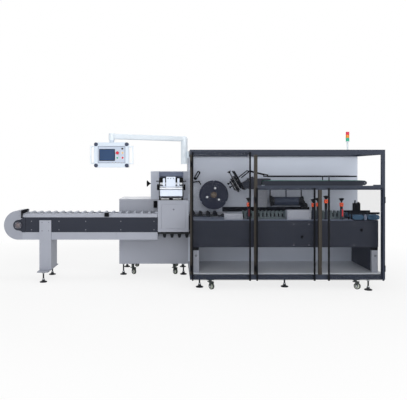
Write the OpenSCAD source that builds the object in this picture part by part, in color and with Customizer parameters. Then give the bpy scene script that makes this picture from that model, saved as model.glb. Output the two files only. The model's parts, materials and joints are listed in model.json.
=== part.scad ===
// Automatic cartoner: guarded carton line with a bucket infeed conveyor on its left.
// Inside the modules x runs from the guard's left face along the product flow,
// y runs back from the guard's front plane, and z is the height above the floor.

/* [Guard enclosure] */
// Length of the guard along the product flow
guard_l = 2400; // [2200:10:2900]
// Depth from the guard's front plane to the main wall
guard_d = 870; // [840:5:1100]
// Height of the guard's top
guard_top = 1730; // [1700:5:2100]
// Height of the base frame's underside
base_z = 130; // [110:1:160]
// Height of the top and bottom beams
beam_h = 60; // [40:1:80]
// Width of the frame tube
tube = 40; // [30:1:50]
// Distance of the second post from the left face
post_2_x = 790; // [770:1:800]
// Distance of the third post from the left face
post_3_x = 1583; // [1580:1:1605]
// Underside of the middle beam
mid_z = 1236; // [1226:1:1240]
// Height of the middle beam
mid_h = 50; // [36:1:54]
// Length of the raised end block on the middle beam
mid_step_l = 92; // [60:1:160]
// Thickness of the floor pan
pan_t = 8; // [3:1:12]

/* [Rear housing] */
// Thickness of the main wall
wall_t = 12; // [6:1:20]
// Depth of the housing behind the main wall, wall included
housing_d = 650; // [500:5:800]
// How far the housing stops short of the guard's right face
housing_inset = 15; // [0:1:40]
// Width and depth of the seams between the rear covers
seam = 6; // [3:1:10]

/* [Guard doors] */
// Thickness of a clear leaf
leaf_t = 8; // [5:1:9]
// Gap between a leaf and the frame behind it
leaf_gap = 6; // [5:0.5:8]
// Width of the edge handle
handle_w = 20; // [14:1:26]
// How far the edge handles stand in front of the frame
door_proud = 30; // [28:1:40]
// Width of the hinge stile
stile_w = 17; // [14:1:28]
// Radius of the hinge knuckles
knuckle_r = 9; // [8:0.5:9]
// Radius of the hinge pins
pin_r = 5; // [3:0.5:6]
// Length of one hinge knuckle
knuckle_l = 36; // [24:1:60]
// Free edge of the left leaf
left_leaf_edge = 745; // [700:1:750]
// Free edge of the middle leaf
middle_leaf_edge = 1536; // [1400:1:1550]
// Free edge of the right leaf
right_leaf_edge = 1691; // [1670:1:1800]
// How far the leaves hang below the base frame
leaf_drop = 7; // [0:1:20]
// Distance of the left leaf's top edge below the guard's top
left_leaf_short = 29; // [10:1:50]
// How far the lower leaves reach up over the middle beam's underside
lower_leaf_lap = 24; // [10:1:36]

/* [Transport bed] */
// Front face of the apron
apron_y = 110; // [100:1:130]
// Thickness of the apron
apron_t = 12; // [4:1:16]
// Lower edge of the apron and the bed
bed_z = 512; // [480:1:540]
// Top of the bed, under its deck plate
bed_top = 848; // [830:1:850]
// Depth of the bed behind the apron
bed_d = 400; // [360:5:405]
// Thickness of the deck plate
deck_t = 8; // [4:1:9]
// Width of a pedestal
pedestal_w = 76; // [60:1:90]
// Depth of a pedestal
pedestal_d = 40; // [30:1:60]
// Pitch of the carton lugs
lug_pitch = 50; // [46:1:80]
// Height of the carton lugs
lug_h = 92; // [60:1:110]
// Number of lugs in a row
lug_count = 26; // [8:1:26]
// Radius of the bores in the apron
apron_bore_r = 17; // [10:1:22]

/* [Adjusting spindles] */
// Radius of a spindle's pillar
pillar_r = 17; // [12:0.5:22]
// Height of the tallest spindle, knob included
spindle_tall = 296; // [280:1:300]
// Radius of the hand knob
knob_r = 30; // [20:1:36]
// Width of the position indicator
counter_w = 42; // [36:1:44]
// Height of the position indicator
counter_h = 46; // [36:1:56]

/* [Carton reel] */
// Distance of the reel's axis from the guard's left face
reel_x = 347; // [330:1:360]
// Height of the reel's axis
reel_z = 1138; // [1134:1:1180]
// Radius of the reel
reel_r = 200; // [160:1:202]
// Thickness of the reel's disc
reel_t = 14; // [8:1:20]
// Front face of the disc
reel_y = 693; // [685:1:700]
// Radius of the reel's shaft
shaft_r = 15; // [10:0.5:20]
// Running clearance between the reel and its shaft
reel_run = 0.1; // [0.05:0.01:0.2]
// Radius of the circle of bright bushes
bush_circle_r = 95; // [80:1:110]

/* [Carton magazine] */
// Left end of the magazine
mag_x = 965; // [940:1:990]
// Right end of the magazine
mag_end = 2345; // [2100:1:2355]
// Front face of the magazine
mag_y = 430; // [400:1:440]
// Width of the magazine over its side plates
mag_w = 290; // [240:1:300]
// Height of the magazine rollers' axes
mag_z = 1310; // [1306:1:1330]
// Radius of the magazine's end rollers
roller_r = 27; // [20:1:27]
// Thickness of the belts
belt_t = 4; // [2:0.5:5]
// Height of the magazine's side plates
mag_plate_h = 52; // [50:1:60]
// Thickness of the magazine's side plates
mag_plate_t = 8; // [5:1:10]
// Height of the carton guide rails
guide_h = 27; // [16:1:34]
// Clear height of the guide rails over the side plates
guide_lift = 50; // [30:1:60]

/* [Discharge] */
// Left end of the discharge belts
out_x = 2051; // [2045:1:2070]
// Radius of the discharge rollers
out_r = 28; // [20:1:30]
// Width of the discharge belts
out_w = 350; // [250:5:360]

/* [Infeed conveyor] */
// Reach of the infeed conveyor from the guard's left face
infeed_reach = 2480; // [2300:10:2900]
// Front face of the infeed conveyor
infeed_y = 545; // [545:1:550]
// Width of the infeed conveyor
infeed_w = 305; // [300:1:310]
// Width of the front and rear side frames
side_w = 45; // [35:1:50]
// Height of the bucket wheel axes
wheel_z = 740; // [738:1:745]
// Radius at which the buckets' floors run
floor_r = 125; // [115:1:126]
// Thickness of the slat band that carries the flights
band_t = 10; // [6:1:14]
// Height of the flights
flight_h = 50; // [40:1:60]
// Width of a flight at its foot
flight_foot = 52; // [40:1:56]
// Width of a flight at its tip
flight_tip = 20; // [10:1:28]
// Number of flights on the loop
flight_count = 61; // [40:1:64]
// Distance of the right bucket wheel from the guard's left face
far_wheel_x = 375; // [340:1:380]
// Radius of the end guard
end_r = 195; // [192:1:200]
// Height of the dark side panels
panel_h = 200; // [180:1:210]
// Height of the grey upper rails
rail_h = 50; // [30:1:52]
// Height of the grey lower rails
low_rail_h = 100; // [80:1:100]
// Width of the infeed leg
leg_w = 158; // [120:1:180]
// Left side of the infeed leg
leg_x = -2002; // [-2060:1:-1900]

/* [Drive cabinet] */
// Length of the drive cabinet
cabinet_l = 970; // [900:5:1100]
// Underside of the drive cabinet
cabinet_z = 160; // [140:1:180]
// Top of the drive cabinet
cabinet_top = 1070; // [1065:1:1073]
// Length of the upper cabinet
upper_l = 527; // [460:1:560]
// Top of the upper cabinet
upper_top = 1462; // [1430:1:1480]

/* [Leaflet station] */
// Left side of the leaflet housing
leaflet_x = -415; // [-416:1:-380]
// Length of the leaflet housing
leaflet_l = 413; // [380:1:414]
// Front face of the leaflet housing
leaflet_y = 535; // [520:1:540]
// Depth of the leaflet housing
leaflet_d = 55; // [40:1:56]
// Lower edge of the leaflet housing
leaflet_z = 649; // [640:1:680]
// Top of the leaflet housing and its deck
leaflet_top = 1074; // [1074:1:1080]
// Thickness of the leaflet deck
leaflet_deck_t = 24; // [10:1:30]
// Length of the leaflet folder over its side plates
folder_l = 330; // [280:1:340]
// Height of the leaflet folder
folder_h = 385; // [340:1:388]

/* [Control panel] */
// Width of the panel
panel_w = 427; // [360:1:500]
// Height of the panel
panel_tall = 309; // [260:1:320]
// Depth of the panel
panel_d = 90; // [70:1:110]
// Drop of the panel's middle below the arm tube's middle
panel_drop = 231; // [225:1:260]
// Distance of the arm's axis left of the guard
arm_x = 60; // [55:1:80]
// Distance of the arm's axis behind the guard's front plane
arm_y = 560; // [500:1:620]
// Length of the arm between its two axes
arm_l = 1040; // [900:5:1100]
// Angle by which the arm points forward at rest
arm_angle = 29; // [15:1:35]
// Height of the arm tube's middle above the guard's top
arm_rise = 167; // [160:1:220]
// Side of the square arm tube
arm_tube = 60; // [45:1:70]
// Radius of the arm's swivel housings
swivel_r = 44; // [40:1:50]
// Radius of the swivel spigots
spigot_r = 24; // [18:1:30]
// Running clearance of the swivels
swivel_run = 0.1; // [0.05:0.01:0.2]
// Side of the square corner caps
cap_side = 34; // [24:1:44]
// Width of the screen
screen_w = 193; // [150:1:230]
// Height of the screen
screen_h = 144; // [110:1:170]

/* [Signal tower] */
// Distance of the tower from the guard's left face
tower_x = 2237; // [2000:1:2340]
// Height of the tower's pole
tower_pole_h = 155; // [120:1:250]
// Radius of the lenses
lens_r = 24.5; // [18:0.5:35]
// Height of one lens
lens_h = 43; // [30:1:60]

/* [Feet and casters] */
// Radius of a levelling foot
foot_r = 47; // [35:1:60]
// Radius of a levelling foot's stem
stem_r = 10; // [8:0.5:14]
// Radius of the caster wheels
caster_r = 40; // [30:1:42]
// Width of the caster wheels
caster_w = 30; // [20:1:36]
// Height of the lifted caster wheels above the floor
caster_lift = 5; // [2:1:12]

/* [Hidden] */
$fn = 48;

// Overall box and the place of the guard's left front corner in it
overall_l = infeed_reach + guard_l;
overall_w = door_proud + guard_d + housing_d;
guard_x0 = infeed_reach - overall_l / 2;
guard_y0 = door_proud - overall_w / 2;
// Frame
base_top = base_z + beam_h;
top_beam_z = guard_top - beam_h;
right_post_x = guard_l - tube;
rear_beam_y = guard_d - tube;
mid_top = mid_z + mid_h;
mid_step_h = 12;
tie_x = [105, 1184, 2179];
pan_top = base_top + pan_t;
housing_l = guard_l - housing_inset;
rear_y = guard_d + housing_d;
// Doors
leaf_back = -leaf_gap;
leaf_front = leaf_back - leaf_t;
hinge_y = -door_proud / 2;
leaf_z = base_z - leaf_drop;
left_leaf_top = guard_top - left_leaf_short;
lower_leaf_top = mid_z + lower_leaf_lap;
stile_start = knuckle_r + 4;
hinge_end = 130;
side_sheet_in = 6;
side_sheet_z = 1140;
knuckle_gap = 0.4;
pin_run = 0.1;
left_hinge_x = knuckle_r + 1;
middle_hinge_x = post_2_x + knuckle_r + 1;
right_hinge_x = guard_l - knuckle_r - 1;
// Bed
apron_x = tube;
apron_end = guard_l - 63;
bed_x = apron_x + 4;
bed_end = guard_l - 34;
bed_y = apron_y + apron_t;
bed_back = bed_y + bed_d;
deck_top = bed_top + deck_t;
deck_end = out_x - 5;
pedestal_right_x = guard_l - 120;
end_plate_t = 10;
end_plate_inset = 20;
lug_x = 700;
lug_rows = [bed_y + 120, bed_y + 300];
lug_t = 30;
lug_d = 26;
// Spindles: distance along the bed, height, and height of the indicator's underside
spindle_list = [[744, 270, 166], [1564, 256, 160], [1622, 268, 164], [1725, 296, 206], [1921, 266, 164]];
spindle_y = apron_y + 62;
knob_h = 42;
// Reel
hub_r = 40;
hub_l = 60;
bearing_r = 62;
// Magazine
mag_back = mag_y + mag_w;
mag_plate_z = mag_z - mag_plate_h / 2;
mag_plate_top = mag_plate_z + mag_plate_h;
mag_roller_in = 32;
guide_t = 10;
guide_post_w = 12;
// Discharge
out_z = bed_top + 4 + out_r + belt_t;
out_y = bed_y + 25;
out_gap = 5;
out_plate_t = 10;
function out_rollers() = let (first = out_x + out_r + belt_t)
  [first, first + 78, first + 192, guard_l - out_r - belt_t - 6];
out_rail_z = out_z + out_r + belt_t + 5;
front_guide_y = out_y - 9;
rear_guide_y = out_y + 290;
// Infeed
left_wheel_x = end_r - infeed_reach;
infeed_back = infeed_y + infeed_w;
run_gap = 4;
run_y = infeed_y + side_w + run_gap;
run_w = infeed_w - 2 * side_w - 2 * run_gap;
inner_back = infeed_back - side_w;
straight_l = far_wheel_x - left_wheel_x;
arc_l = PI * floor_r;
loop_l = 2 * (straight_l + arc_l);
arc_lift = 0.3;
side_x = left_wheel_x + 55;
side_z = wheel_z - 95;
side_top = side_z + panel_h;
front_side_end = leaflet_x - 5;
rear_side_end = far_wheel_x + 165;
side_tie_x = [-2100, -1500, -900, -460];
side_tie_r = 22;
end_plate_w = 10;
end_wrap_t = 4;
wheel_shaft_r = 18;
wheel_gap = 0.3;
flange_r = 49;
flange_t = 18;
boss_t = 6;
boss_r = 70;
cheek_t = 10;
leg_top = side_z - low_rail_h;
cheek_top = 806;
leg_plate_z = 134;
leg_plate_t = 12;
leg_plate_y = 395;
leg_plate_d = 565;
// Leaflet folder
folder_x = leaflet_x + 13;
folder_plate_t = 12;
folder_y = leaflet_y + 25;
folder_d = 260;
folder_end = folder_x + folder_l;
// Feed chute and pick head, in a frame tilted about the chute's lower end
head_tilt = 30;
head_x = 662;
head_z = 1171;
chute_y = 450;
chute_w = 230;
chute_l = 300;
chute_h = 84;
gate_u = 86;
gate_t = 12;
// Control panel
arm_z = guard_top + arm_rise;
panel_z = arm_z - panel_drop;
panel_x = -arm_x - arm_l * cos(arm_angle);
panel_y = arm_y - arm_l * sin(arm_angle);
panel_front = panel_y - panel_d / 2;
panel_low = panel_z - panel_tall / 2;
panel_top = panel_z + panel_tall / 2;
swivel_z = guard_top + 40;
swivel_gap = 0.4;
spigot_l = 70;
neck_r = 30;
panel_recess = 5;
arm_top = arm_z + arm_tube / 2 + 8;
neck_top = panel_top + 30;
// Feet: place and height of what each one carries
rear_feet_y = rear_y - 50;
feet = [
  [125, 170, base_z], [1204, 190, base_z], [2199, 20, base_z],
  [125, rear_feet_y, base_z], [1204, rear_feet_y, base_z], [2199, rear_feet_y, base_z],
  [-916, guard_d + 60, cabinet_z], [-65, guard_d + 60, cabinet_z],
  [-916, rear_feet_y, cabinet_z], [-65, rear_feet_y, cabinet_z],
  [leg_x + leg_w / 2, 445, leg_plate_z], [leg_x + leg_w / 2, 918, leg_plate_z]
];
// Casters: place, height of what each one carries, and the way it is turned
casters = [
  [250, 52, base_z, -50], [2050, 52, base_z, -40],
  [250, rear_feet_y, base_z, -30], [2050, rear_feet_y, base_z, -55],
  [-784, guard_d + 66, cabinet_z, -48], [-196, guard_d + 66, cabinet_z, -52],
  [-784, rear_feet_y, cabinet_z, -40], [-196, rear_feet_y, cabinet_z, -25]
];
caster_trail = 25;
caster_plate = [90, 80, 8];
caster_cheek_t = 6;
caster_side_gap = 4;
caster_axle_r = 5;
caster_z = caster_lift + caster_r;
// Colours
frame_colour = [0.24, 0.27, 0.32];
panel_colour = [0.62, 0.65, 0.69];
wall_colour = [0.70, 0.73, 0.79];
dark_colour = [0.21, 0.23, 0.28];
black_colour = [0.08, 0.08, 0.09];
steel_colour = [0.78, 0.80, 0.82];
white_colour = [0.88, 0.90, 0.93];

// Shared shapes

module block(x, y, z, lx, ly, lz) {
  translate([x, y, z]) cube([lx, ly, lz]);
}

module bar_x(x, y, z, r, l) {
  translate([x, y, z]) rotate([0, 90, 0]) cylinder(r = r, h = l);
}

module bar_y(x, y, z, r, l) {
  translate([x, y, z]) rotate([-90, 0, 0]) cylinder(r = r, h = l);
}

module bar_z(x, y, z, r, l) {
  translate([x, y, z]) cylinder(r = r, h = l);
}

// A profile drawn in x and z, run back from y over the length l
module run_back(y, l) {
  translate([0, y + l, 0]) rotate([90, 0, 0]) linear_extrude(l) children();
}

// A profile drawn in y and z, run along x over the length l
module run_along(x, l) {
  translate([x, 0, 0]) rotate([90, 0, 90]) linear_extrude(l) children();
}

// Outline of a belt or chain round two wheels
module track(x0, x1, z, r) {
  translate([x0, z - r]) square([x1 - x0, 2 * r]);
  for (x = [x0, x1]) translate([x, z]) circle(r);
}

module belt_loop(x0, x1, z, r, t) {
  difference() {
    track(x0, x1, z, r + t);
    track(x0, x1, z, r);
  }
}

// Guard enclosure

module guard_posts() {
  color(frame_colour) {
    for (x = [0, post_2_x, right_post_x])
      block(x, 0, base_top, tube, tube, top_beam_z - base_top);
    block(post_3_x, 0, base_top, tube, tube, mid_z - base_top);
  }
}

module guard_long_beams() {
  mid_x = post_2_x + tube;
  color(frame_colour) {
    for (y = [0, rear_beam_y], z = [base_z, top_beam_z]) block(0, y, z, guard_l, tube, beam_h);
    block(mid_x, 0, mid_z, right_post_x - mid_x, tube, mid_h);
    block(right_post_x - mid_step_l, 0, mid_top, mid_step_l, tube, mid_step_h);
  }
}

module guard_cross_beams() {
  color(frame_colour) {
    for (x = [0, right_post_x], z = [base_z, top_beam_z])
      block(x, tube, z, tube, rear_beam_y - tube, beam_h);
    for (x = tie_x) block(x, tube, base_z, tube, rear_beam_y - tube, beam_h);
  }
}

module floor_pan() {
  color(panel_colour) block(0, tube, base_top, guard_l, guard_d - tube, pan_t);
}

module main_wall() {
  color(wall_colour) block(0, guard_d, base_z, housing_l, wall_t, guard_top - base_z);
}

module rear_housing() {
  rim = 50;
  cover_count = 4;
  cover_l = (housing_l - 2 * rim) / cover_count;
  color(panel_colour) difference() {
    block(0, guard_d + wall_t, base_z, housing_l, housing_d - wall_t, guard_top - base_z);
    for (i = [0:cover_count])
      block(rim + i * cover_l - seam / 2, rear_y - seam, base_z + rim, seam, 2 * seam,
        guard_top - base_z - 2 * rim);
    for (z = [base_z + rim, guard_top - rim])
      block(rim - seam / 2, rear_y - seam, z - seam / 2, housing_l - 2 * rim + seam, 2 * seam, seam);
  }
}

// Guard doors: hx is the hinge axis, dir the side on which the leaf lies

function hinge_heights(z0, z1) = [z0 + hinge_end, z1 - hinge_end - knuckle_l];

module span(a, b, y, z, ly, lz) {
  block(min(a, b), y, z, abs(b - a), ly, lz);
}

module door_leaf(hx, dir, edge, z0, z1) {
  color([0.75, 0.8, 0.85, 0.35])
    span(hx + dir * stile_start, edge, leaf_front, z0, leaf_t, z1 - z0);
}

module door_profiles(hx, dir, edge, z0, z1) {
  stile_in = hx + dir * stile_start;
  profile_d = door_proud + leaf_front;
  tab_t = 7;
  color(black_colour) {
    difference() {
      union() {
        span(stile_in, stile_in + dir * stile_w, -door_proud, z0, profile_d, z1 - z0);
        for (z = hinge_heights(z0, z1)) {
          bar_z(hx, hinge_y, z, knuckle_r, knuckle_l);
          span(hx, stile_in + dir, leaf_front - tab_t, z, tab_t, knuckle_l);
        }
      }
      for (z = hinge_heights(z0, z1)) bar_z(hx, hinge_y, z - 1, pin_r + pin_run, knuckle_l + 2);
    }
    span(edge - dir * handle_w, edge, -door_proud, z0, profile_d, z1 - z0);
  }
}

module hinge_pair(hx, z0, z1) {
  fixed_l = knuckle_l / 2;
  for (z = hinge_heights(z0, z1)) {
    for (zk = [z - knuckle_gap - fixed_l, z + knuckle_l + knuckle_gap]) {
      bar_z(hx, hinge_y, zk, knuckle_r, fixed_l);
      block(hx - knuckle_r, hinge_y, zk, 2 * knuckle_r, -hinge_y, fixed_l);
    }
    bar_z(hx, hinge_y, z - knuckle_gap - fixed_l, pin_r, knuckle_l + 2 * (knuckle_gap + fixed_l));
  }
}

module door_hinges() {
  color(black_colour) {
    hinge_pair(left_hinge_x, leaf_z, left_leaf_top);
    hinge_pair(middle_hinge_x, leaf_z, lower_leaf_top);
    hinge_pair(right_hinge_x, leaf_z, lower_leaf_top);
  }
}

module left_door_leaf() {
  door_leaf(left_hinge_x, 1, left_leaf_edge, leaf_z, left_leaf_top);
}

module left_door_profiles() {
  door_profiles(left_hinge_x, 1, left_leaf_edge, leaf_z, left_leaf_top);
}

module middle_door_leaf() {
  door_leaf(middle_hinge_x, 1, middle_leaf_edge, leaf_z, lower_leaf_top);
}

module middle_door_profiles() {
  door_profiles(middle_hinge_x, 1, middle_leaf_edge, leaf_z, lower_leaf_top);
}

module right_door_leaf() {
  door_leaf(right_hinge_x, -1, right_leaf_edge, leaf_z, lower_leaf_top);
}

module right_door_profiles() {
  door_profiles(right_hinge_x, -1, right_leaf_edge, leaf_z, lower_leaf_top);
}

// Clear sheet that closes the left side over the infeed
module side_panel() {
  color([0.75, 0.8, 0.85, 0.35]) block(side_sheet_in, tube, side_sheet_z, leaf_t, guard_d - tube,
    top_beam_z - side_sheet_z);
}

// Transport bed

module apron_panels() {
  end_plate_y = apron_y + pedestal_d;
  color(dark_colour) {
    difference() {
      block(apron_x, apron_y, bed_z, apron_end - apron_x, apron_t, bed_top - bed_z);
      bar_y(1406, apron_y - 1, bed_z + 129, apron_bore_r, apron_t + 2);
      bar_y(2151, apron_y - 1, bed_z + 216, apron_bore_r, apron_t + 2);
      bar_y(1606, apron_y - 1, bed_z + 179, apron_bore_r / 2, apron_t + 2);
    }
    for (x = [apron_x + pedestal_w - end_plate_inset - end_plate_t, pedestal_right_x + end_plate_inset])
      block(x, end_plate_y, pan_top, end_plate_t, guard_d - end_plate_y, bed_z - pan_top);
  }
}

module transport_bed() {
  color(dark_colour) {
    block(bed_x, bed_y, bed_z, bed_end - bed_x, bed_d, bed_top - bed_z);
    block(out_x + 6, out_y + out_w + out_gap, bed_top - 1, guard_l - out_x - 12, out_plate_t,
      out_z + out_r - bed_top);
  }
}

module deck_plate() {
  divider_x = out_rollers()[1] + out_r + belt_t + 7;
  color(steel_colour) {
    block(apron_x, apron_y, bed_top, deck_end - apron_x, apron_t + bed_d, deck_t);
    block(divider_x, out_y - 4, bed_top, 32, out_w - 10, out_z + out_r + 8 - bed_top);
  }
}

module bed_pedestals() {
  color(panel_colour) for (x = [apron_x, pedestal_right_x])
    block(x, apron_y, pan_top, pedestal_w, pedestal_d, bed_z - pan_top);
}

module carton_lugs() {
  foot_h = 24;
  rake = 3;
  row_l = (lug_count - 1) * lug_pitch + lug_t;
  color([0.28, 0.35, 0.37]) for (y = lug_rows) {
    block(lug_x, y, deck_top, row_l, lug_d, foot_h);
    for (i = [0:lug_count - 1]) translate([lug_x + i * lug_pitch, 0, deck_top + foot_h - 1])
      run_back(y, lug_d) polygon([[0, 0], [lug_t, 0], [lug_t, lug_h - foot_h], [rake, lug_h - foot_h]]);
  }
}

module grey_cover(x, l, h) {
  front = apron_y + 22;
  depth = 94;
  chamfer = 10;
  run_along(x, l) translate([front, deck_top]) polygon([
    [0, 0], [depth, 0], [depth, h], [chamfer, h], [0, h - chamfer]
  ]);
}

module grey_covers() {
  color(panel_colour) {
    grey_cover(438, 228, 71);
    grey_cover(1226, 300, 119);
    block(958, guard_d - 90, 964, 139, 90, 237);
  }
}

// Adjusting spindles

module spindles() {
  screw_r = 8;
  color(black_colour) for (s = spindle_list) {
    tall = s[1] * spindle_tall / 296;
    translate([s[0], spindle_y, deck_top]) rotate_extrude() polygon([
      [0, 0], [pillar_r + 5, 0], [pillar_r + 5, 12], [pillar_r, 18], [pillar_r, s[2]],
      [screw_r, s[2]], [screw_r, tall - knob_h], [knob_r * 0.36, tall - knob_h], [knob_r, tall - 9],
      [knob_r, tall], [0, tall]
    ]);
  }
}

module position_indicators() {
  bore_r = 8.2;
  round_r = 6;
  half = counter_w / 2;
  color([0.90, 0.36, 0.22]) for (s = spindle_list) translate([s[0], spindle_y, deck_top + s[2]])
    linear_extrude(counter_h) difference() {
      polygon([
        [-half, -half + round_r], [-half + round_r, -half], [half - round_r, -half], [half, -half + round_r],
        [half, half - round_r], [half - round_r, half], [-half + round_r, half], [-half, half - round_r]
      ]);
      circle(bore_r);
    }
}

// Carton reel

module carton_reel() {
  hub_front = 12;
  bush_r = 13;
  notch_r = 11;
  color(dark_colour) translate([reel_x, reel_y, reel_z]) rotate([-90, 0, 0]) difference() {
    union() {
      cylinder(r = reel_r, h = reel_t, $fn = 96);
      translate([0, 0, -hub_front]) cylinder(r = hub_r, h = hub_l);
    }
    translate([0, 0, -hub_front - 1]) cylinder(r = shaft_r + reel_run, h = hub_l + 2);
    for (a = [0:120:359]) {
      rotate(a - 78) translate([bush_circle_r, 0, -1]) cylinder(r = bush_r, h = reel_t + 2);
      rotate(a - 90) translate([reel_r, 0, -1]) cylinder(r = notch_r, h = reel_t + 2);
    }
  }
}

module shaft_bearings() {
  hub_y = reel_y - 12;
  barrel_y = hub_y + hub_l + knuckle_gap;
  flange_d = 25;
  collar_d = 12;
  collar_r = 24;
  far_block_w = 80;
  color(dark_colour) {
    bar_y(reel_x, hub_y - knuckle_gap - collar_d, reel_z, collar_r, collar_d);
    bar_y(reel_x, hub_y - knuckle_gap - 1, reel_z, shaft_r, barrel_y - hub_y + 2);
    bar_y(reel_x, barrel_y, reel_z, bearing_r, guard_d - barrel_y);
    bar_y(reel_x, guard_d - flange_d, reel_z, bearing_r + 20, flange_d);
    for (y = [infeed_y - boss_t - flange_t, infeed_back]) bar_y(left_wheel_x, y, wheel_z, flange_r, flange_t);
    block(far_wheel_x - far_block_w / 2, bed_back, wheel_z - far_block_w / 2, far_block_w,
      run_y - bed_back - 2, far_block_w);
  }
}

// Carton magazine

module magazine_frame() {
  tie_r = 9;
  bracket_w = 40;
  color(dark_colour) {
    for (y = [mag_y, mag_back - mag_plate_t]) run_back(y, mag_plate_t)
      track(mag_x + mag_plate_h / 2, mag_end - mag_plate_h / 2, mag_z, mag_plate_h / 2);
    for (x = [1250, 1650, 2050]) bar_y(x, mag_y + 1, mag_z - 8, tie_r, mag_w - 2);
    for (x = [1180, 2060])
      block(x, mag_back - 1, mag_z - bracket_w / 2, bracket_w, guard_d - mag_back + 1, bracket_w);
  }
}

module magazine_belt() {
  edge = mag_plate_t + 4;
  color([0.12, 0.28, 0.26]) run_back(mag_y + edge, mag_w - 2 * edge)
    belt_loop(mag_x + mag_roller_in, mag_end - mag_roller_in, mag_z, roller_r, belt_t);
}

module belt_rollers() {
  color(steel_colour) {
    for (x = [mag_x + mag_roller_in, mag_end - mag_roller_in])
      bar_y(x, mag_y + mag_plate_t, mag_z, roller_r - wheel_gap, mag_w - 2 * mag_plate_t);
    for (x = out_rollers()) bar_y(x, out_y, out_z, out_r - wheel_gap, out_w + out_gap);
  }
}

// Outline of a bent strip along a line of points, with mitred bends
function heading(v) = v / norm(v);
function strip_side(p, i, r) = let (
    last = len(p) - 1,
    into = heading(p[max(i, 1)] - p[max(i, 1) - 1]),
    out = heading(p[min(i, last - 1) + 1] - p[min(i, last - 1)]),
    along = heading(into + out),
    across = [-along[1], along[0]]
  ) p[i] + across * r / (across * [-out[1], out[0]]);

module strip_outline(p, r) {
  polygon(concat(
    [for (i = [0:len(p) - 1]) strip_side(p, i, r)],
    [for (i = [len(p) - 1:-1:0]) strip_side(p, i, -r)]
  ));
}

module carton_guides() {
  rail_x = 1030;
  joint_x = 1832;
  joint_l = 32;
  rail_end = 2212;
  rail_z = mag_plate_top + guide_lift;
  rail_h2 = guide_h - 9;
  strip_r = 7;
  bend = [[689, 1379], [805, 1470], [916, 1441], [1037, 1414], [1037, rail_z + rail_h2 / 2]];
  color(black_colour) {
    for (y = [mag_y - 1, mag_back - guide_t + 1]) {
      block(rail_x, y, rail_z, joint_x - rail_x, guide_t, rail_h2);
      block(joint_x + joint_l, y, rail_z, rail_end - joint_x - joint_l, guide_t, rail_h2);
      block(joint_x - 8, y + 2, rail_z + 4, joint_l + 16, guide_t - 4, rail_h2 - 8);
      block(joint_x + 8, y, mag_plate_top, guide_post_w, guide_t, guide_lift + rail_h2 - 2);
      run_back(y, guide_t) strip_outline(bend, strip_r);
    }
    for (y = [front_guide_y, rear_guide_y]) {
      block(deck_end - 54, y, out_rail_z, guard_l - 10 - deck_end + 54, guide_t, guide_h);
      for (x = [deck_end - 50, deck_end - 16])
        block(x, y, deck_top, guide_post_w, guide_t, out_rail_z - deck_top + 1);
    }
    // Long carrier along the main wall
    block(480, guard_d - 24, 900, 1220, 24, 62);
  }
}

// Shapes in the frame of the tilted chute: u runs up the chute and w stands on it
module tilted() {
  translate([head_x, 0, head_z]) rotate([0, -head_tilt, 0]) children();
}

module feed_chute() {
  box_x = 800;
  box_z = 1225;
  box_top = 1366;
  floor_t = 12;
  cheek = 8;
  low = gate_u + gate_t;
  belt_clear = mag_z + roller_r + belt_t + 6;
  color(black_colour) {
    tilted() {
      block(low, chute_y, 0, chute_l - low, chute_w, floor_t);
      for (y = [chute_y, chute_y + chute_w - cheek]) block(low, y, 0, chute_l - low, cheek, chute_h);
    }
    block(box_x, chute_y, box_z, mag_x - 4 - box_x, chute_w, box_top - box_z);
    block(box_x + 60, chute_y, belt_clear, 220, chute_w, box_top - belt_clear);
    block(870, chute_y + chute_w - 1, 1290, 40, guard_d - chute_y - chute_w + 1, 40);
  }
}

module pick_head() {
  plate_y = chute_y + 20;
  plate_l = chute_w - 40;
  mid_y = chute_y + chute_w / 2;
  // Clamp plates across the chute: distance along it, lower and upper edge
  plates = [[-14, 46, 190], [10, 12, 210], [34, 20, 222], [58, 34, 226]];
  color(black_colour) tilted() {
    block(gate_u, chute_y, 0, gate_t, chute_w, 286);
    for (c = plates) block(c[0], plate_y, c[1], 9, plate_l, c[2] - c[1]);
    for (y = [plate_y + 24, plate_y + plate_l - 24], w = [64, 172]) bar_x(-20, y, w, 8, gate_u + 26);
    for (w = [120, 172]) {
      bar_x(-58, mid_y, w, 7, gate_u + 60);
      bar_x(-62, mid_y, w, 15, 16);
    }
    bar_z(39, mid_y, 200, 7, 100);
    translate([39, mid_y, 286]) cylinder(r1 = 10, r2 = 27, h = 28);
  }
}

module folding_drum() {
  drum_x = 1150;
  drum_l = 410;
  drum_r = 60;
  drum_z = 1050;
  drum_y = mag_back - mag_plate_t / 2;
  end_t = 14;
  color(black_colour) {
    bar_x(drum_x, drum_y, drum_z, drum_r, drum_l);
    for (x = [drum_x - end_t, drum_x + drum_l]) bar_x(x, drum_y, drum_z, drum_r + 12, end_t);
    block(drum_x - 34, drum_y - 26, drum_z - 20, 36, 52, 96);
    bar_y(drum_x + drum_l + 30, drum_y - 26, drum_z - 60, 46, 52);
    block(drum_x + drum_l + 6, drum_y - 20, drum_z - 60, 34, 40, 70);
    for (x = [1124, 1343, 1553]) bar_z(x, drum_y, drum_z, 8, mag_plate_z - drum_z);
  }
}

module discharge_belts() {
  x = out_rollers();
  color([0.14, 0.33, 0.45]) for (i = [0, 2])
    run_back(out_y, out_w) belt_loop(x[i], x[i + 1], out_z, out_r, belt_t);
}

// Infeed conveyor

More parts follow.
